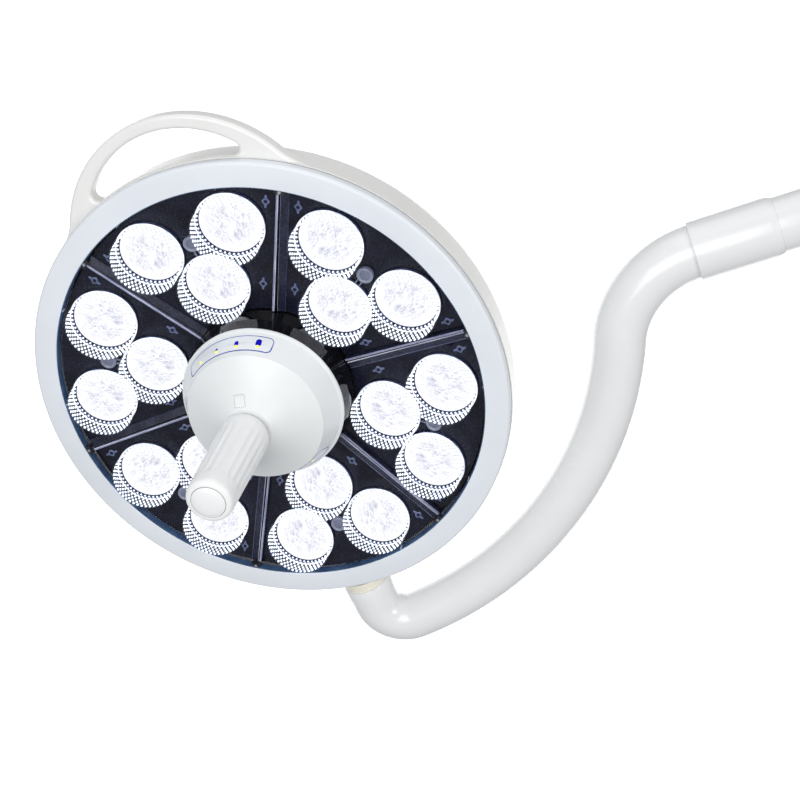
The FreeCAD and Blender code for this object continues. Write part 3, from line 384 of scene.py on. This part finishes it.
def spun(profile, steps=160, closed=True, axis="head"):
    """Points and faces of a profile turned about the head's axis, the X axis or the Z axis."""
    verts, faces = [], []
    for step in range(steps):
        turn = 2 * math.pi * step / steps
        for radius, along in profile:
            if axis == "head":
                verts.append((radius * math.sin(turn), along - PIVOT_DEPTH,
                              radius * math.cos(turn)))
            elif axis == "x":
                verts.append((along, radius * math.sin(turn), radius * math.cos(turn)))
            else:
                verts.append((radius * math.sin(turn), radius * math.cos(turn), along))
    count = len(profile)
    for step in range(steps):
        following = (step + 1) % steps
        for k in range(count if closed else count - 1):
            j = (k + 1) % count
            faces.append((step * count + k, step * count + j, following * count + j,
                          following * count + k))
    return verts, faces


def outward(verts, faces):
    """Flips every face if the closed shape is inside out."""
    volume = sum(Vector(verts[f[0]]).dot(Vector(verts[f[k]]).cross(Vector(verts[f[k + 1]])))
                 for f in faces for k in range(1, len(f) - 1))
    return faces if volume > 0 else [tuple(reversed(f)) for f in faces]


def turned(name, profile, looks, body, place=HEAD, axis="head", steps=160, closed=True, **extra):
    """A turned piece from a profile of (radius, along, corner radius)."""
    verts, faces = spun(soften(profile, closed), steps, closed, axis)
    return build(name, verts, outward(verts, faces), place, looks, body, **extra)


# ---- camera, backdrop and light ----
camera = bpy.data.objects.new("camera", bpy.data.cameras.new("camera"))
bpy.context.scene.collection.objects.link(camera)
camera.location = (-0.15516, -1.00737, 0.41997)
camera.rotation_mode = "QUATERNION"
camera.rotation_quaternion = (0.838518, 0.510999, 0.179634, -0.059144)
camera.data.lens = 54.686
camera.data.sensor_width = 36.0
camera.data.clip_start = 0.01
bpy.context.scene.camera = camera
bpy.context.scene.view_settings.view_transform = "Standard"

CARD_FAR = 3.2              # metres from the camera to the card, and the card's half-side
CARD_HALF = 1.7
card_mesh = bpy.data.meshes.new("backdrop")
card_view = camera.rotation_quaternion.to_matrix()
card_middle = camera.location - card_view.col[2] * CARD_FAR
card_mesh.from_pydata([card_middle + card_view.col[0] * x + card_view.col[1] * y
                       for x, y in ((-CARD_HALF, -CARD_HALF), (CARD_HALF, -CARD_HALF),
                                    (CARD_HALF, CARD_HALF), (-CARD_HALF, CARD_HALF))],
                      [], [(0, 1, 2, 3)])
card = bpy.data.objects.new("backdrop", card_mesh)
bpy.context.scene.collection.objects.link(card)
card_mesh.materials.append(surface("backdrop_white", (0.95, 0.95, 0.95), (0.94, 0.94, 0.94),
                                   (0.8, 0.9), cloud=2.0, emission=1.1))

world = bpy.data.worlds.new("studio")
world.use_nodes = True
world.node_tree.nodes["Background"].inputs["Color"].default_value = (0.96, 0.98, 1.0, 1)
world.node_tree.nodes["Background"].inputs["Strength"].default_value = 0.42
bpy.context.scene.world = world


def softbox(name, place, target, size, power, tint=(1, 1, 1)):
    """A rectangular area light aimed at a target."""
    lamp = bpy.data.lights.new(name, "AREA")
    lamp.shape = "RECTANGLE"
    lamp.size, lamp.size_y = size
    lamp.energy = power
    lamp.color = tint
    holder = bpy.data.objects.new(name, lamp)
    holder.location = place
    holder.rotation_mode = "QUATERNION"
    holder.rotation_quaternion = (Vector(target) - Vector(place)).to_track_quat("-Z", "Y")
    bpy.context.scene.collection.objects.link(holder)


softbox("top", (0.1, 0.2, 2.0), (-0.4, 0, 0), (2.0, 1.6), 8.5)
softbox("front", (-0.6, -2.0, 0.8), (-0.4, 0, 0), (1.4, 1.4), 24.0, (0.97, 0.985, 1.0))
softbox("right", (2.2, -2.0, 0.4), (-0.3, 0, 0), (1.0, 1.4), 26.0, (1.0, 0.985, 0.96))

# ---- bezel ----
turned("bezel_ring", [(205.0, 9.0, 0), (205.0, 0.0, 0.7), (227.5, 0.0, 3.2), (227.5, 9.0, 0.5),
                      (224.6, 9.0, 0), (224.6, 11.8, 0), (222.2, 11.8, 0), (222.2, 3.0, 0),
                      (207.5, 3.0, 0), (207.5, 9.0, 0)],
       [FRONT], "head", steps=240, slot="white_paint", stands_for=["bezel"])
turned("rim_wall", [(204.9, 9.4, 0), (204.9, 1.2, 0), (204.2, 1.0, 0.2), (204.2, 9.4, 0)],
       [RIM], "head", steps=240, slot="black_gloss")

# ---- sector plates: along, across and out axes, out measured from the plates' rim plane ----
PLATE_IN, PLATE_OUT = 80.5, 203.8
LENSES = ((162.9, 42.0), (162.9, -42.0), (114.0, 0.0))
SLIT = 2.9                  # half the gap between two plates
HALF = math.radians(30.0)
SHEET = -3.0                # height of the flat sheet and of the plate's foot
FOOT = -6.0
BAND_SIDE = 8.2             # how far the sloping band and the rib reach in from the sector's sides
RIB_SIDE = SLIT + 2.2
HOLE_R = 31.3
FINE = 96                   # steps round a lens


def edge_point(radius, step, way, height):
    """A point on a sector's side, set in by step; way +1 is the anticlockwise side."""
    reach = math.sqrt(radius ** 2 - step ** 2)
    return (math.cos(HALF) * reach + math.sin(HALF) * step,
            (math.sin(HALF) * reach - math.cos(HALF) * step) * way, height)


# cross-sections as (distance from the side, height), each with the finish of its stretches; the lit
# walls, crests and lips are painted light
BAND_ROW = ((0.0, FOOT), (0.0, -0.6), (0.6, 0.45), (7.0, -2.5), (7.2, -2.2), (8.0, -2.2),
            (BAND_SIDE, SHEET))
RIB_ROW = ((RIB_SIDE, SHEET), (SLIT + 2.0, 1.2), (SLIT + 1.6, 1.5), (SLIT + 0.4, 1.5), (SLIT, 1.2),
           (SLIT, -3.2), (SLIT, FOOT))
# looks: black sheet, painted lens light on walls, band, painted highlight on crests, black pit,
# glowing painted highlight on lips
PLATE_LOOKS = [PLATE, EDGE, BAND, GLINT, PIT, BRIM]
BAND_KINDS = (4, 5, 2, 3, 2, 2)
RIB_KINDS = (2, 1, 3, 5, 1, 4)


def inside_plate(point):
    """True where the flat sheet is solid."""
    off_band = math.sin(HALF) * point.x - math.cos(HALF) * point.y
    off_rib = math.sin(HALF) * point.x + math.cos(HALF) * point.y
    return (all((point - Vector(lens)).length >= HOLE_R - 0.02 for lens in LENSES)
            and off_band >= BAND_SIDE and off_rib >= RIB_SIDE
            and PLATE_IN - 0.1 < point.length < PLATE_OUT + 0.1)


def swept(radius, first, last, steps):
    """Points round the head's axis between two of the sheet's corners."""
    start, end = (math.atan2(p[1], p[0]) for p in (first, last))
    turns = [start + (end - start) * k / steps for k in range(1, steps)]
    return [(radius * math.cos(turn), radius * math.sin(turn)) for turn in turns]


def sheet_outline(radii):
    """The flat sheet's outline: the band's side, the rim, the rib's side, then round the hub."""
    up = [edge_point(radius, BAND_SIDE, 1, 0)[:2] for radius in radii]
    down = [edge_point(radius, RIB_SIDE, -1, 0)[:2] for radius in reversed(radii)]
    return up + swept(PLATE_OUT, up[-1], down[0], 40) + down + swept(PLATE_IN, down[-1], up[0], 16)


def plate_mesh():
    """One cover plate: the sloping band, the upright rib, the pierced flat sheet and its skirt."""
    rows = 12
    radii = [PLATE_IN, PLATE_IN + 0.6]
    radii += [PLATE_IN + (PLATE_OUT - PLATE_IN) * k / rows for k in range(1, rows)]
    radii += [PLATE_OUT - 0.6, PLATE_OUT]
    verts, faces, which = [], [], []
    for row, way, kinds in ((BAND_ROW, 1, BAND_KINDS), (RIB_ROW, -1, RIB_KINDS)):
        base = len(verts)
        width = len(row)
        for radius in radii:
            verts += [edge_point(radius, step, way, high) for step, high in row]
        for r in range(len(radii) - 1):
            for k in range(width - 1):
                a = base + r * width + k
                quad = (a, a + 1, a + width + 1, a + width)
                faces.append(quad if way < 0 else tuple(reversed(quad)))
                which.append(kinds[k])
        for first in (base, base + (len(radii) - 1) * width):
            faces.append(tuple(first + k for k in range(width)))
            which.append(3)
    outline = sheet_outline(radii)
    points = [Vector(p) for p in outline]
    edges = [(k, (k + 1) % len(outline)) for k in range(len(outline))]
    for x, y in LENSES:
        base = len(points)
        points += [Vector(p[:2]) for p in circle(x, y, HOLE_R, 0, FINE)]
        edges += [(base + k, base + (k + 1) % FINE) for k in range(FINE)]
    flat, _, triangles, _, _, _ = delaunay_2d_cdt(points, edges, [], 0, 1e-6)
    base = len(verts)
    verts += [(p.x, p.y, SHEET) for p in flat]
    for triangle in triangles:
        if not inside_plate(sum((flat[k] for k in triangle), Vector((0, 0))) / len(triangle)):
            continue
        a, b, c = (flat[k] for k in triangle[:3])
        way = (b - a).cross(c - a)
        faces.append(tuple(base + k for k in (triangle if way > 0 else reversed(triangle))))
        which.append(0)
    base = len(verts)
    for high in (SHEET, FOOT):
        verts += [(x, y, high) for x, y in outline]
    skirt = bands(base, 2, len(outline))
    return verts, faces + skirt, which + [2] * len(skirt)


def lug_outline(count=48):
    """A lug's outline: a round body with a pointed tail at either end."""
    points = []
    for k in range(count):
        turn = 2 * math.pi * k / count
        body = 3.1 + 0.55 * abs(math.cos(2 * turn)) ** 3
        radius = max(body, 6.5 * abs(math.cos(turn)) ** 10)
        points.append((radius * math.cos(turn), radius * math.sin(turn)))
    return points


def lug_pieces():
    """Lugs beside the sector's sides, near the rim and near the hub, each with a round pit."""
    verts, faces, which = [], [], []
    ring = lug_outline()
    count = len(ring)
    for radius in (190.0, 107.0):
        for way, step in ((1, 15.5), (-1, 14.5)):
            x, y, _ = edge_point(radius, step, way, 0)
            c, s = math.cos(HALF * way), math.sin(HALF * way)
            rings = [(1.0, ring, SHEET), (1.0, ring, -2.35), (0.86, ring, -2.1)]
            rings += [(1.0, circle(0, 0, pit_r, 0, count), high)
                      for pit_r, high in ((1.7, -2.1), (1.5, -2.4), (1.5, -2.9))]
            base = len(verts)
            for scale, outline, high in rings:
                for a, b in (p[:2] for p in outline):
                    verts.append((x + (a * c - b * s) * scale, y + (a * s + b * c) * scale, high))
            faces += bands(base, len(rings), count, flip=True)
            faces.append(tuple(base + 5 * count + k for k in range(count)))
            which += [0] * 3 * count + [1] * (2 * count + 1)
    return verts, faces, which


# ---- lens discs, rings, collars and posts ----
LENS_R = 28.9
LENS_FACE = -4.6
CROWN_RISE = 1.6
CROWN_R = 29.2
PEBBLE_PITCH = 2.35
# (radius, height) round the disc: its edge, the dark gap and its wall, the ring that glows with
# painted light, the skirt
LENS_EDGE = [(LENS_R, -5.0), (29.2, -5.4), (30.3, -5.4), (30.45, 0.5), (30.8, 1.0), (31.15, 1.2),
             (31.55, 0.95), (31.8, 0.2), (31.8, -2.95)]
LENS_EDGE_KINDS = (1, 1, 1, 1, 2, 2, 2, 2, 1)   # wall or ring for the stretch up to each point


def lens_disc(x, y, verts, faces, which, uvs):
    """One lit lens: a pebbled crown, its edge, the dark gap and the ring round it, which glows with
    painted light.
    """
    rings = [0.0, 1.6] + [1.6 + 27.3 * k / 18 for k in range(1, 19)]
    base = len(verts)
    for radius in rings:
        crown = LENS_FACE + CROWN_RISE * (1 - (radius / CROWN_R) ** 2)
        for a, b, _ in circle(0, 0, radius, 0, FINE if radius else 1):
            wave = (math.cos(2 * math.pi * a / PEBBLE_PITCH)
                    * math.cos(2 * math.pi * b / PEBBLE_PITCH))
            verts.append((x + a, y + b, crown + (0.16 * wave if radius < 28 else 0)))
            uvs.append((a / LENS_R, b / LENS_R))
    faces += [(base, base + 1 + k, base + 1 + (k + 1) % FINE) for k in range(FINE)]
    which += [0] * FINE * (len(rings) - 1)
    for (radius, high), kind in zip(LENS_EDGE, LENS_EDGE_KINDS):
        verts += circle(x, y, radius, high, FINE)
        uvs += [(1.2, 1.2)] * FINE
        which += [kind] * FINE
    faces += bands(base + 1, len(rings) - 1 + len(LENS_EDGE), FINE)


def collar_shell(x, y, verts, faces):
    """The clear wall of one collar."""
    base = len(verts)
    profile = [(31.8, 0.2), (31.9, 2.0), (32.4, 16.7), (32.2, 17.0), (31.3, 17.0), (31.1, 16.7),
               (30.6, 2.0), (30.5, 0.2)]
    for radius, high in profile:
        verts += circle(x, y, radius, high, FINE)
    faces += bands(base, len(profile), FINE, closed=True, flip=True)


def facets(x, y, others, verts, faces):
    """Rows of raised beads on the collar's inner wall, left out where two collars merge."""
    number, rows, sides = 46, 6, 8
    for row in range(rows):
        share = row / (rows - 1)
        radius = 30.35 + 0.75 * share
        high = -3.0 + 18.3 * share
        for k in range(number):
            turn = 2 * math.pi * (k + 0.5 * (row % 2)) / number
            c, s = math.cos(turn), math.sin(turn)
            cx, cy = x + radius * c, y + radius * s
            if any(math.hypot(cx - ox, cy - oy) < 30.4 for ox, oy in others):
                continue
            side = Vector((-s, c, 0))
            inward = Vector((-c, -s, 0))
            middle = Vector((cx, cy, high))
            base = len(verts)
            long, wide = 1.7 + 0.4 * share, 1.08 + 0.3 * share
            for scale, lift in ((1.0, 0.0), (0.6, 0.75)):
                for j in range(sides):
                    around = 2 * math.pi * j / sides
                    across, up = math.cos(around), math.sin(around)
                    pinch = 1.0 - 0.25 * abs(across * up)
                    verts.append(tuple(middle + side * (across * wide * scale * pinch)
                                       + Vector((0, 0, up * long * scale * pinch)) + inward * lift))
            verts.append(tuple(middle + inward * 1.0))
            for j in range(sides):
                m = (j + 1) % sides
                faces.append((base + j, base + m, base + sides + m, base + sides + j))
                faces.append((base + sides + j, base + sides + m, base + 2 * sides))


POST_AT = 159.0
# (radius, height) from the post's foot over its bright lip and a shallow groove to its middle
POST_PROFILE = [(7.5, SHEET), (7.5, 1.0), (7.2, 1.35), (6.7, 1.5), (6.1, 1.45), (5.4, 0.9),
                (4.8, 0.7), (4.5, 0.95), (0.01, 0.9)]


def post_mesh():
    """Frosted post with a grooved top, and the two thin arms to the inner lens."""
    around = 48
    verts, which = [], []
    for radius, high in POST_PROFILE:
        verts += circle(POST_AT, 0, radius, high, around)
    faces = bands(0, len(POST_PROFILE), around)
    for layer in range(len(POST_PROFILE) - 1):
        which += [1 if 1 <= layer <= 5 else 0] * around
    for side in (-1, 1):
        base = len(verts)
        for along in (144.5, 152.6):
            for across, high in ((1.6, -2.9), (1.6, -0.4), (2.1, 0.0), (2.6, -0.4), (2.6, -2.9)):
                verts.append((along, across * side, high))
        for k in range(4):
            faces.append((base + k, base + k + 1, base + 6 + k, base + 5 + k))
            which.append(1)
    return verts, faces, which


for number in range(SECTORS):
    place = sector_matrix(number)
    label = str(number + 1)
    verts, faces, which = plate_mesh()
    build("plate_" + label, verts, faces, place, PLATE_LOOKS, "head", which,
          slot="black_gloss", stands_for=["sector_plate_" + label], crease=25)
    verts, faces, which = lug_pieces()
    build("plate_lugs_" + label, verts, faces, place, [LUG, PIT], "head", which, slot="black_gloss")
    verts, faces, which, uvs = [], [], [], []
    for x, y in LENSES:
        lens_disc(x, y, verts, faces, which, uvs)
    build("lens_faces_" + label, verts, faces, place, [LENS, MOAT, RING], "head", which,
          slot="lens_clear", stands_for=["lens_trios"] if number == 0 else (), uvs=uvs, crease=60)
    verts, faces = [], []
    for x, y in LENSES:
        collar_shell(x, y, verts, faces)
    build("collar_walls_" + label, verts, faces, place, [CLEAR], "head", slot="lens_clear",
          stands_for=["lens_collars_" + label], crease=50)
    verts, faces = [], []
    for x, y in LENSES:
        facets(x, y, [o for o in LENSES if o != (x, y)], verts, faces)
    # the beads glow in GLEAM, painted light
    build("collar_facets_" + label, verts, faces, place, [GLEAM], "head", slot="lens_clear",
          crease=5)
    verts, faces, which = post_mesh()
    build("post_" + label, verts, faces, place, [FROST, POST_RIM], "head", which, slot="lens_clear",
          crease=50)

# ---- hub ----
CONE_R, CONE_FRONT = 24.0, -59.0        # radius and depth where the hub's front cone ends
CREASE_R, CREASE_FRONT = 63.5, -36.5    # and where it meets the control band
SHOULDER_R, SHOULDER_FRONT = 74.4, -13.4    # and where the band ends
BAND_LOW, BAND_HIGH = Vector((CREASE_R, CREASE_FRONT)), Vector((SHOULDER_R, SHOULDER_FRONT))
BAND_WAY = (BAND_HIGH - BAND_LOW).normalized()
BAND_OUT = Vector((BAND_WAY.y, -BAND_WAY.x))
BAND_MIDDLE_R = 68.9
PER_DEGREE = 1.2            # millimetres round the band for one degree

turned("hub_skirt", [(79.0, 50.0, 0), (79.0, 4.0, 0.6), (76.0, -9.0, 0.5), (76.0, -10.0, 0.2),
                     (73.0, -10.0, 0), (73.0, 2.0, 0), (76.0, 6.0, 0), (76.0, 50.0, 0)],
       [COLLAR], "head", steps=200, slot="black_gloss", stands_for=["hub_collar"])
turned("hub_shell", [(77.0, -10.0, 0), (76.6, -11.8, 1.2), (SHOULDER_R, SHOULDER_FRONT, 1.0),
                     (64.1, -35.2, 0.6), (CREASE_R, -36.6, 0.4), (62.5, -37.1, 0.3),
                     (CONE_R, CONE_FRONT, 0), (23.0, -60.4, 0.4), (14.0, -60.5, 0),
                     (14.0, -56.0, 0), (CONE_R, -56.0, 0), (61.5, -33.9, 0), (72.0, -12.0, 0),
                     (72.0, -10.0, 0)],
       [HUB], "head", steps=200, slot="white_moulding", stands_for=["hub_cover"], crease=38)


def on_band(angle, run, lift):
    """A point over the hub's conical band: angle from straight up, run up the slope, lift."""
    flat = BAND_LOW + BAND_WAY * run + BAND_OUT * lift
    turn = math.radians(angle)
    return (flat.x * math.sin(turn), flat.y - PIVOT_DEPTH, flat.x * math.cos(turn))


def band_arc(reach):
    """Degrees that a length takes up on the band's middle."""
    return math.degrees(reach / BAND_MIDDLE_R)


def pad_outline(middle, low, high, half, corner):
    """A rounded strip's outline as (angle, run) points."""
    points = []
    turn = band_arc(corner)
    for cx, cy, start in ((half - turn, high - corner, 0), (-half + turn, high - corner, 90),
                          (-half + turn, low + corner, 180), (half - turn, low + corner, 270)):
        for k in range(9):
            around = math.radians(start + 90 * k / 8)
            points.append((middle + cx + turn * math.cos(around), cy + corner * math.sin(around)))
    return points


def filled(points):
    """Splits an outline's long runs so that it follows the cone."""
    out = []
    for k, (a, b) in enumerate(points):
        c, d = points[(k + 1) % len(points)]
        pieces = max(1, int(abs(c - a) / 1.5))
        out += [(a + (c - a) * j / pieces, b + (d - b) * j / pieces) for j in range(pieces)]
    return out


MARKS = 4                   # marks on a strip: the first's angle from the middle and the step
MARK_FIRST, MARK_STEP = -23.5, 16.8
MARK_LOW, MARK_TALL, MARK_GROWS = 10.6, 1.6, 2.1


def pad_piece(name, middle, stands_for):
    """A control strip: its film, the printed outline, and marks that grow, each with a lamp."""
    verts, faces, which = [], [], []

    def plate(outline, lift, look, foot=0.05):
        """A thin raised patch: an edge wall and a fan of strips across it."""
        ring = filled(outline)
        base = len(verts)
        count = len(ring)
        mid_a = sum(a for a, b in ring) / count
        mid_b = sum(b for a, b in ring) / count
        for high in (foot, lift - 0.08):
            verts.extend(on_band(a, b, high) for a, b in ring)
        for keep_a, keep_b in ((0.985, 0.96), (0.90, 0.05)):
            verts.extend(on_band(mid_a + (a - mid_a) * keep_a, mid_b + (b - mid_b) * keep_b, lift)
                         for a, b in ring)
        faces.extend(bands(base, 4, count))
        faces.append(tuple(base + 3 * count + k for k in range(count)))
        which.extend([look] * (3 * count + 1))

    def line(outline, width_of, lift, look):
        """A printed line along an outline, its width set by the run up the band."""
        ring = filled(outline)
        count = len(ring)
        base = len(verts)
        for k, (a, b) in enumerate(ring):
            before, after = ring[k - 1], ring[(k + 1) % count]
            tangent = Vector(((after[0] - before[0]) * PER_DEGREE, after[1] - before[1]))
            tangent.normalize()
            normal = Vector((tangent.y, -tangent.x))
            width = width_of(b)
            for step, high in ((-width, lift - 0.1), (-width * 0.6, lift), (width * 0.6, lift),
                               (width, lift - 0.1)):
                verts.append(on_band(a + normal.x * step / PER_DEGREE, b + normal.y * step, high))
        for k in range(count):
            j = (k + 1) % count
            for layer in range(3):
                faces.append((base + 4 * k + layer, base + 4 * j + layer, base + 4 * j + layer + 1,
                              base + 4 * k + layer + 1))
                which.append(look)

    plate(pad_outline(middle, 5.0, 22.3, 38.2, 5.0), 0.42, 0)
    line(pad_outline(middle, 5.7, 21.6, 37.4, 4.6), lambda run: 0.55 if run < 11 else 0.34, 0.52, 1)
    for k in range(MARKS):
        angle = middle + MARK_FIRST + MARK_STEP * k
        wide = 0.6 + 0.66 * k
        high = MARK_LOW + MARK_TALL + MARK_GROWS * k
        plate(pad_outline(angle, MARK_LOW, high, band_arc(wide), wide * 0.98), 0.52, 2, 0.3)
        plate(pad_outline(angle, 8.9, 11.9, band_arc(1.55), 1.5), 0.66, 3, 0.3)
    build(name, verts, faces, HEAD, [PAD, BLUE_LINE, BLUE, YELLOW], "head", which,
          slot="keypad_film", stands_for=stands_for, crease=50)


pad_piece("pad_upper", -2.0, ["keypad_upper"])
pad_piece("pad_lower", 178.0, ["keypad_lower"])

# ---- latch button ----
LATCH_AT = 28.8             # the button's distance and turn round the handle
LATCH_TURN = math.radians(8.5)


def on_cone(across, along, lift):
    """A point over the hub's cone, in the latch button's own axes."""
    lean = (CREASE_FRONT - CONE_FRONT) / (CREASE_R - CONE_R)
    depth = CONE_FRONT + (along + LATCH_AT - CONE_R) * lean - lift
    c, s = math.cos(LATCH_TURN), math.sin(LATCH_TURN)
    x, z = across, along + LATCH_AT
    return (x * c + z * s, depth - PIVOT_DEPTH, z * c - x * s)


def latch_piece():
    """Square button on the hub's cone, with a fine seam round it drawn as a grey frame of painted
    shade, and five grip ridges.
    """
    corners = ((-1, -1), (1, -1), (1, 1), (-1, 1))
    verts, faces, which = [], [], []

    def block(levels, look, middle=0.0):
        """A low block from (half across, half along, lift) levels."""
        base = len(verts)
        for half_a, half_b, lift in levels:
            verts.extend(on_cone(middle + a * half_a, b * half_b, lift) for a, b in corners)
        faces.extend(bands(base, len(levels), 4, flip=True))
        top = base + 4 * (len(levels) - 1)
        faces.append((top, top + 1, top + 2, top + 3))
        which.extend([look] * (4 * len(levels) - 3))

    # the outer frame in SHADE is painted shade in the seam round the button
    block(((4.9, 4.9, 0.0), (4.9, 4.9, 0.07), (4.85, 4.85, 0.12)), 1)
    block(((4.6, 4.6, 0.0), (4.6, 4.6, 0.14), (4.4, 4.4, 0.34)), 0)
    for middle in (-3.0, -1.5, 0.0, 1.5, 3.0):
        block(((0.4, 3.6, 0.3), (0.15, 3.6, 0.6)), 0, middle)
    build("latch_key", verts, outward(verts, faces), HEAD, [HUB, SHADE], "latch", which,
          slot="white_moulding", stands_for=["latch_button"], crease=30)


latch_piece()

# ---- grip ----
GRIP_BACK, GRIP_FRONT = -61.0, -172.0   # depths
GRIP_R = 22.5
GRIP_TAPER = 2.0
FLUTES = 20
FLUTE_DEEP = 0.85


def clamped(value):
    """A value held between 0 and 1."""
    return min(1.0, max(0.0, value))


def grip_piece():
    """Tapered grip with rounded ends, shallow flutes that fade out, and its bore."""
    around = 320
    # (depth, how much smaller than the taper)
    stations = [(GRIP_BACK, -7.5), (-61.3, -5.6), (-62.2, -3.9), (-64.0, -2.2), (-67.0, -0.8),
                (-71.0, 0.0)]
    stations += [(-71.0 - 93.0 * k / 50, 0.0) for k in range(1, 51)]
    stations += [(-166.0, -0.05), (-168.0, -0.25), (-169.8, -0.9), (-171.0, -1.9), (-171.7, -3.2),
                 (GRIP_FRONT, -4.6)]
    verts = []
    for depth, shrink in stations:
        share = (GRIP_BACK - depth) / (GRIP_BACK - GRIP_FRONT)
        radius = GRIP_R - GRIP_TAPER * share + shrink
        fade = clamped((-depth - 73.0) / 22.0) * clamped((158.0 + depth) / 9.0)
        fade = fade * fade * (3 - 2 * fade)
        for k in range(around):
            turn = 2 * math.pi * k / around
            wave = 0.5 + 0.5 * math.cos(FLUTES * turn)
            cut = FLUTE_DEEP * fade * (1 - wave ** 1.5)
            verts.append(((radius - cut) * math.sin(turn), depth - PIVOT_DEPTH,
                          (radius - cut) * math.cos(turn)))
    bore = ((15.3, GRIP_FRONT), (15.0, -171.7), (15.0, -168.0), (14.0, -168.0), (14.0, GRIP_BACK))
    for radius, depth in bore:
        verts += hoop(radius, depth, around)
    faces = bands(0, len(stations) + len(bore), around, closed=True)
    build("grip_body", verts, outward(verts, faces), HEAD, [GRIP], "handle", slot="white_moulding",
          stands_for=["handle_grip"], crease=35)


grip_piece()
turned("grip_cap", [(0.01, -166.5, 0), (14.0, -166.5, 0), (14.0, -168.0, 0), (14.65, -168.0, 0),
                    (14.65, -172.1, 0.35), (10.8, -173.5, 3.0), (6.0, -174.25, 4.0),
                    (0.01, -174.4, 0)],
       [GRIP], "handle", steps=120, closed=False, slot="white_moulding", stands_for=["handle_cap"])
turned("grip_seam", [(14.66, -168.5, 0), (14.66, -171.75, 0), (14.98, -171.75, 0),
                     (14.98, -168.5, 0)],
       [SEAM], "handle", steps=120, slot="seal_rubber")

# ---- yoke ----
TUBE_R, TUBE_BORE = 24.15, 20.95
TUBE_TOP, TUBE_END = -238.0, 432.0      # the tube's end under the head, and the one in the sleeve
BORE_DEEP = 23.0


def heading(turn):
    """Unit step to the right of a direction in the XZ plane."""
    return Vector((math.sin(turn), -math.cos(turn)))


def yoke_line():
    """Points and directions along the yoke's centre line, in the XZ plane about the head centre."""
    low, high = math.radians(8.5), math.radians(70.5)
    elbow_r, drop, top_r = 30.0, 265.7, 90.0
    radius = ((drop + elbow_r * math.cos(low) - top_r * (1 - math.cos(high)))
              / (math.cos(low) - math.cos(high)))
    out = [(Vector((0, TUBE_TOP)), -math.pi / 2), (Vector((0, -252.0)), -math.pi / 2)]
    for k in range(25):
        turn = -math.pi / 2 + (low + math.pi / 2) * k / 24
        out.append((Vector((elbow_r, -drop)) + heading(turn) * elbow_r, turn))
    centre = Vector((elbow_r, -drop)) + heading(low) * (elbow_r - radius)
    for k in range(1, 61):
        turn = low + (high - low) * k / 60
        out.append((centre + heading(turn) * radius, turn))
    top = out[-1][0] + heading(high) * top_r
    for k in range(1, 33):
        turn = high * (1 - k / 32)
        out.append((top - heading(turn) * top_r, turn))
    out.append((Vector((TUBE_END, 0.0)), 0.0))
    return out


def yoke_piece():
    """The bent tube, with a rounded end under the head and a short run of bore at the other."""
    around = 72
    verts = []
    down = -math.pi / 2
    rows = [(Vector((0, high)), down, radius)
            for high, radius in ((TUBE_TOP, TUBE_BORE), (TUBE_TOP, 23.5), (TUBE_TOP - 0.15, 23.9),
                                 (TUBE_TOP - 0.6, TUBE_R))]
    rows += [(point, turn, TUBE_R) for point, turn in yoke_line()[1:]]
    rows += [(Vector((along, 0.0)), 0.0, TUBE_BORE) for along in (TUBE_END, TUBE_END - BORE_DEEP)]
    for point, turn, radius in rows:
        normal = Vector((-math.sin(turn), math.cos(turn)))
        for k in range(around):
            angle = 2 * math.pi * k / around
            flat = point + normal * (radius * math.cos(angle))
            verts.append((flat.x, radius * math.sin(angle), flat.y))
    faces = bands(0, len(rows), around, flip=True)
    build("yoke_shell", verts, outward(verts, faces), YOKE, [PAINT], "yoke", slot="white_paint",
          stands_for=["yoke_elbow", "yoke_bow", "yoke_neck"], crease=40)


yoke_piece()
turned("neck_ring", [(21.75, TUBE_TOP, 0), (21.75, -229.7, 1.4), (16.6, -229.7, 0.4),
                     (16.6, TUBE_TOP, 0)],
       [CREAM], "yoke", place=YOKE, axis="z", steps=96, slot="neck_ring",
       stands_for=["pivot_collar"])
turned("sleeve_cover", [(26.3, 404.0, 0.7), (26.3, 470.0, 1.5), (25.1, 476.0, 0.2),
                        (24.5, 476.0, 0.1), (24.5, 406.5, 0.2), (25.4, 404.6, 0.2),
                        (25.4, 404.0, 0.1)],
       [PAINT], "sleeve", place=YOKE, axis="x", steps=120, slot="white_paint",
       stands_for=["swivel_sleeve"])
turned("arm_tube", [(TUBE_R, 433.0, 0.3), (TUBE_R, REACH, 0.6), (20.5, REACH, 0.6),
                    (20.5, 510.0, 0.2), (17.0, 510.0, 0.2), (17.0, 433.0, 0.2)],
       [PAINT], "arm_end", place=YOKE, axis="x", steps=120, slot="white_paint",
       stands_for=["arm_stub"])

# ---- rim ticks ----
# (way across, radius, depth) of a tick's foot and of its smaller face
TICK_POINTS = ((-1, 204.15, 1.4), (1, 204.15, 1.4), (1, 204.15, 8.2), (-1, 204.15, 8.2),
               (-0.8, 203.7, 1.8), (0.8, 203.7, 1.8), (0.8, 203.7, 8.0), (-0.8, 203.7, 8.0))
TICK_HALF = 0.9


def tick_pieces():
    """Small upright bars on the rim wall, two to a sector."""
    verts, faces = [], []
    for number in range(SECTORS):
        for step in (-15.0, 14.0):
            turn = math.radians(SECTOR_FIRST + SECTOR_STEP * number + step)
            radial = Vector((math.sin(turn), 0, math.cos(turn)))
            side = Vector((math.cos(turn), 0, -math.sin(turn)))
            base = len(verts)
            for across, radius, depth in TICK_POINTS:
                point = radial * radius + side * (across * TICK_HALF)
                verts.append((point.x, depth - PIVOT_DEPTH, point.z))
            faces.append((base + 4, base + 5, base + 6, base + 7))
            faces += bands(base, 2, 4, flip=True)
    build("rim_ticks", verts, faces, HEAD, [TICK], "head", slot="white_moulding", crease=20,
          rounded=0.2)


tick_pieces()
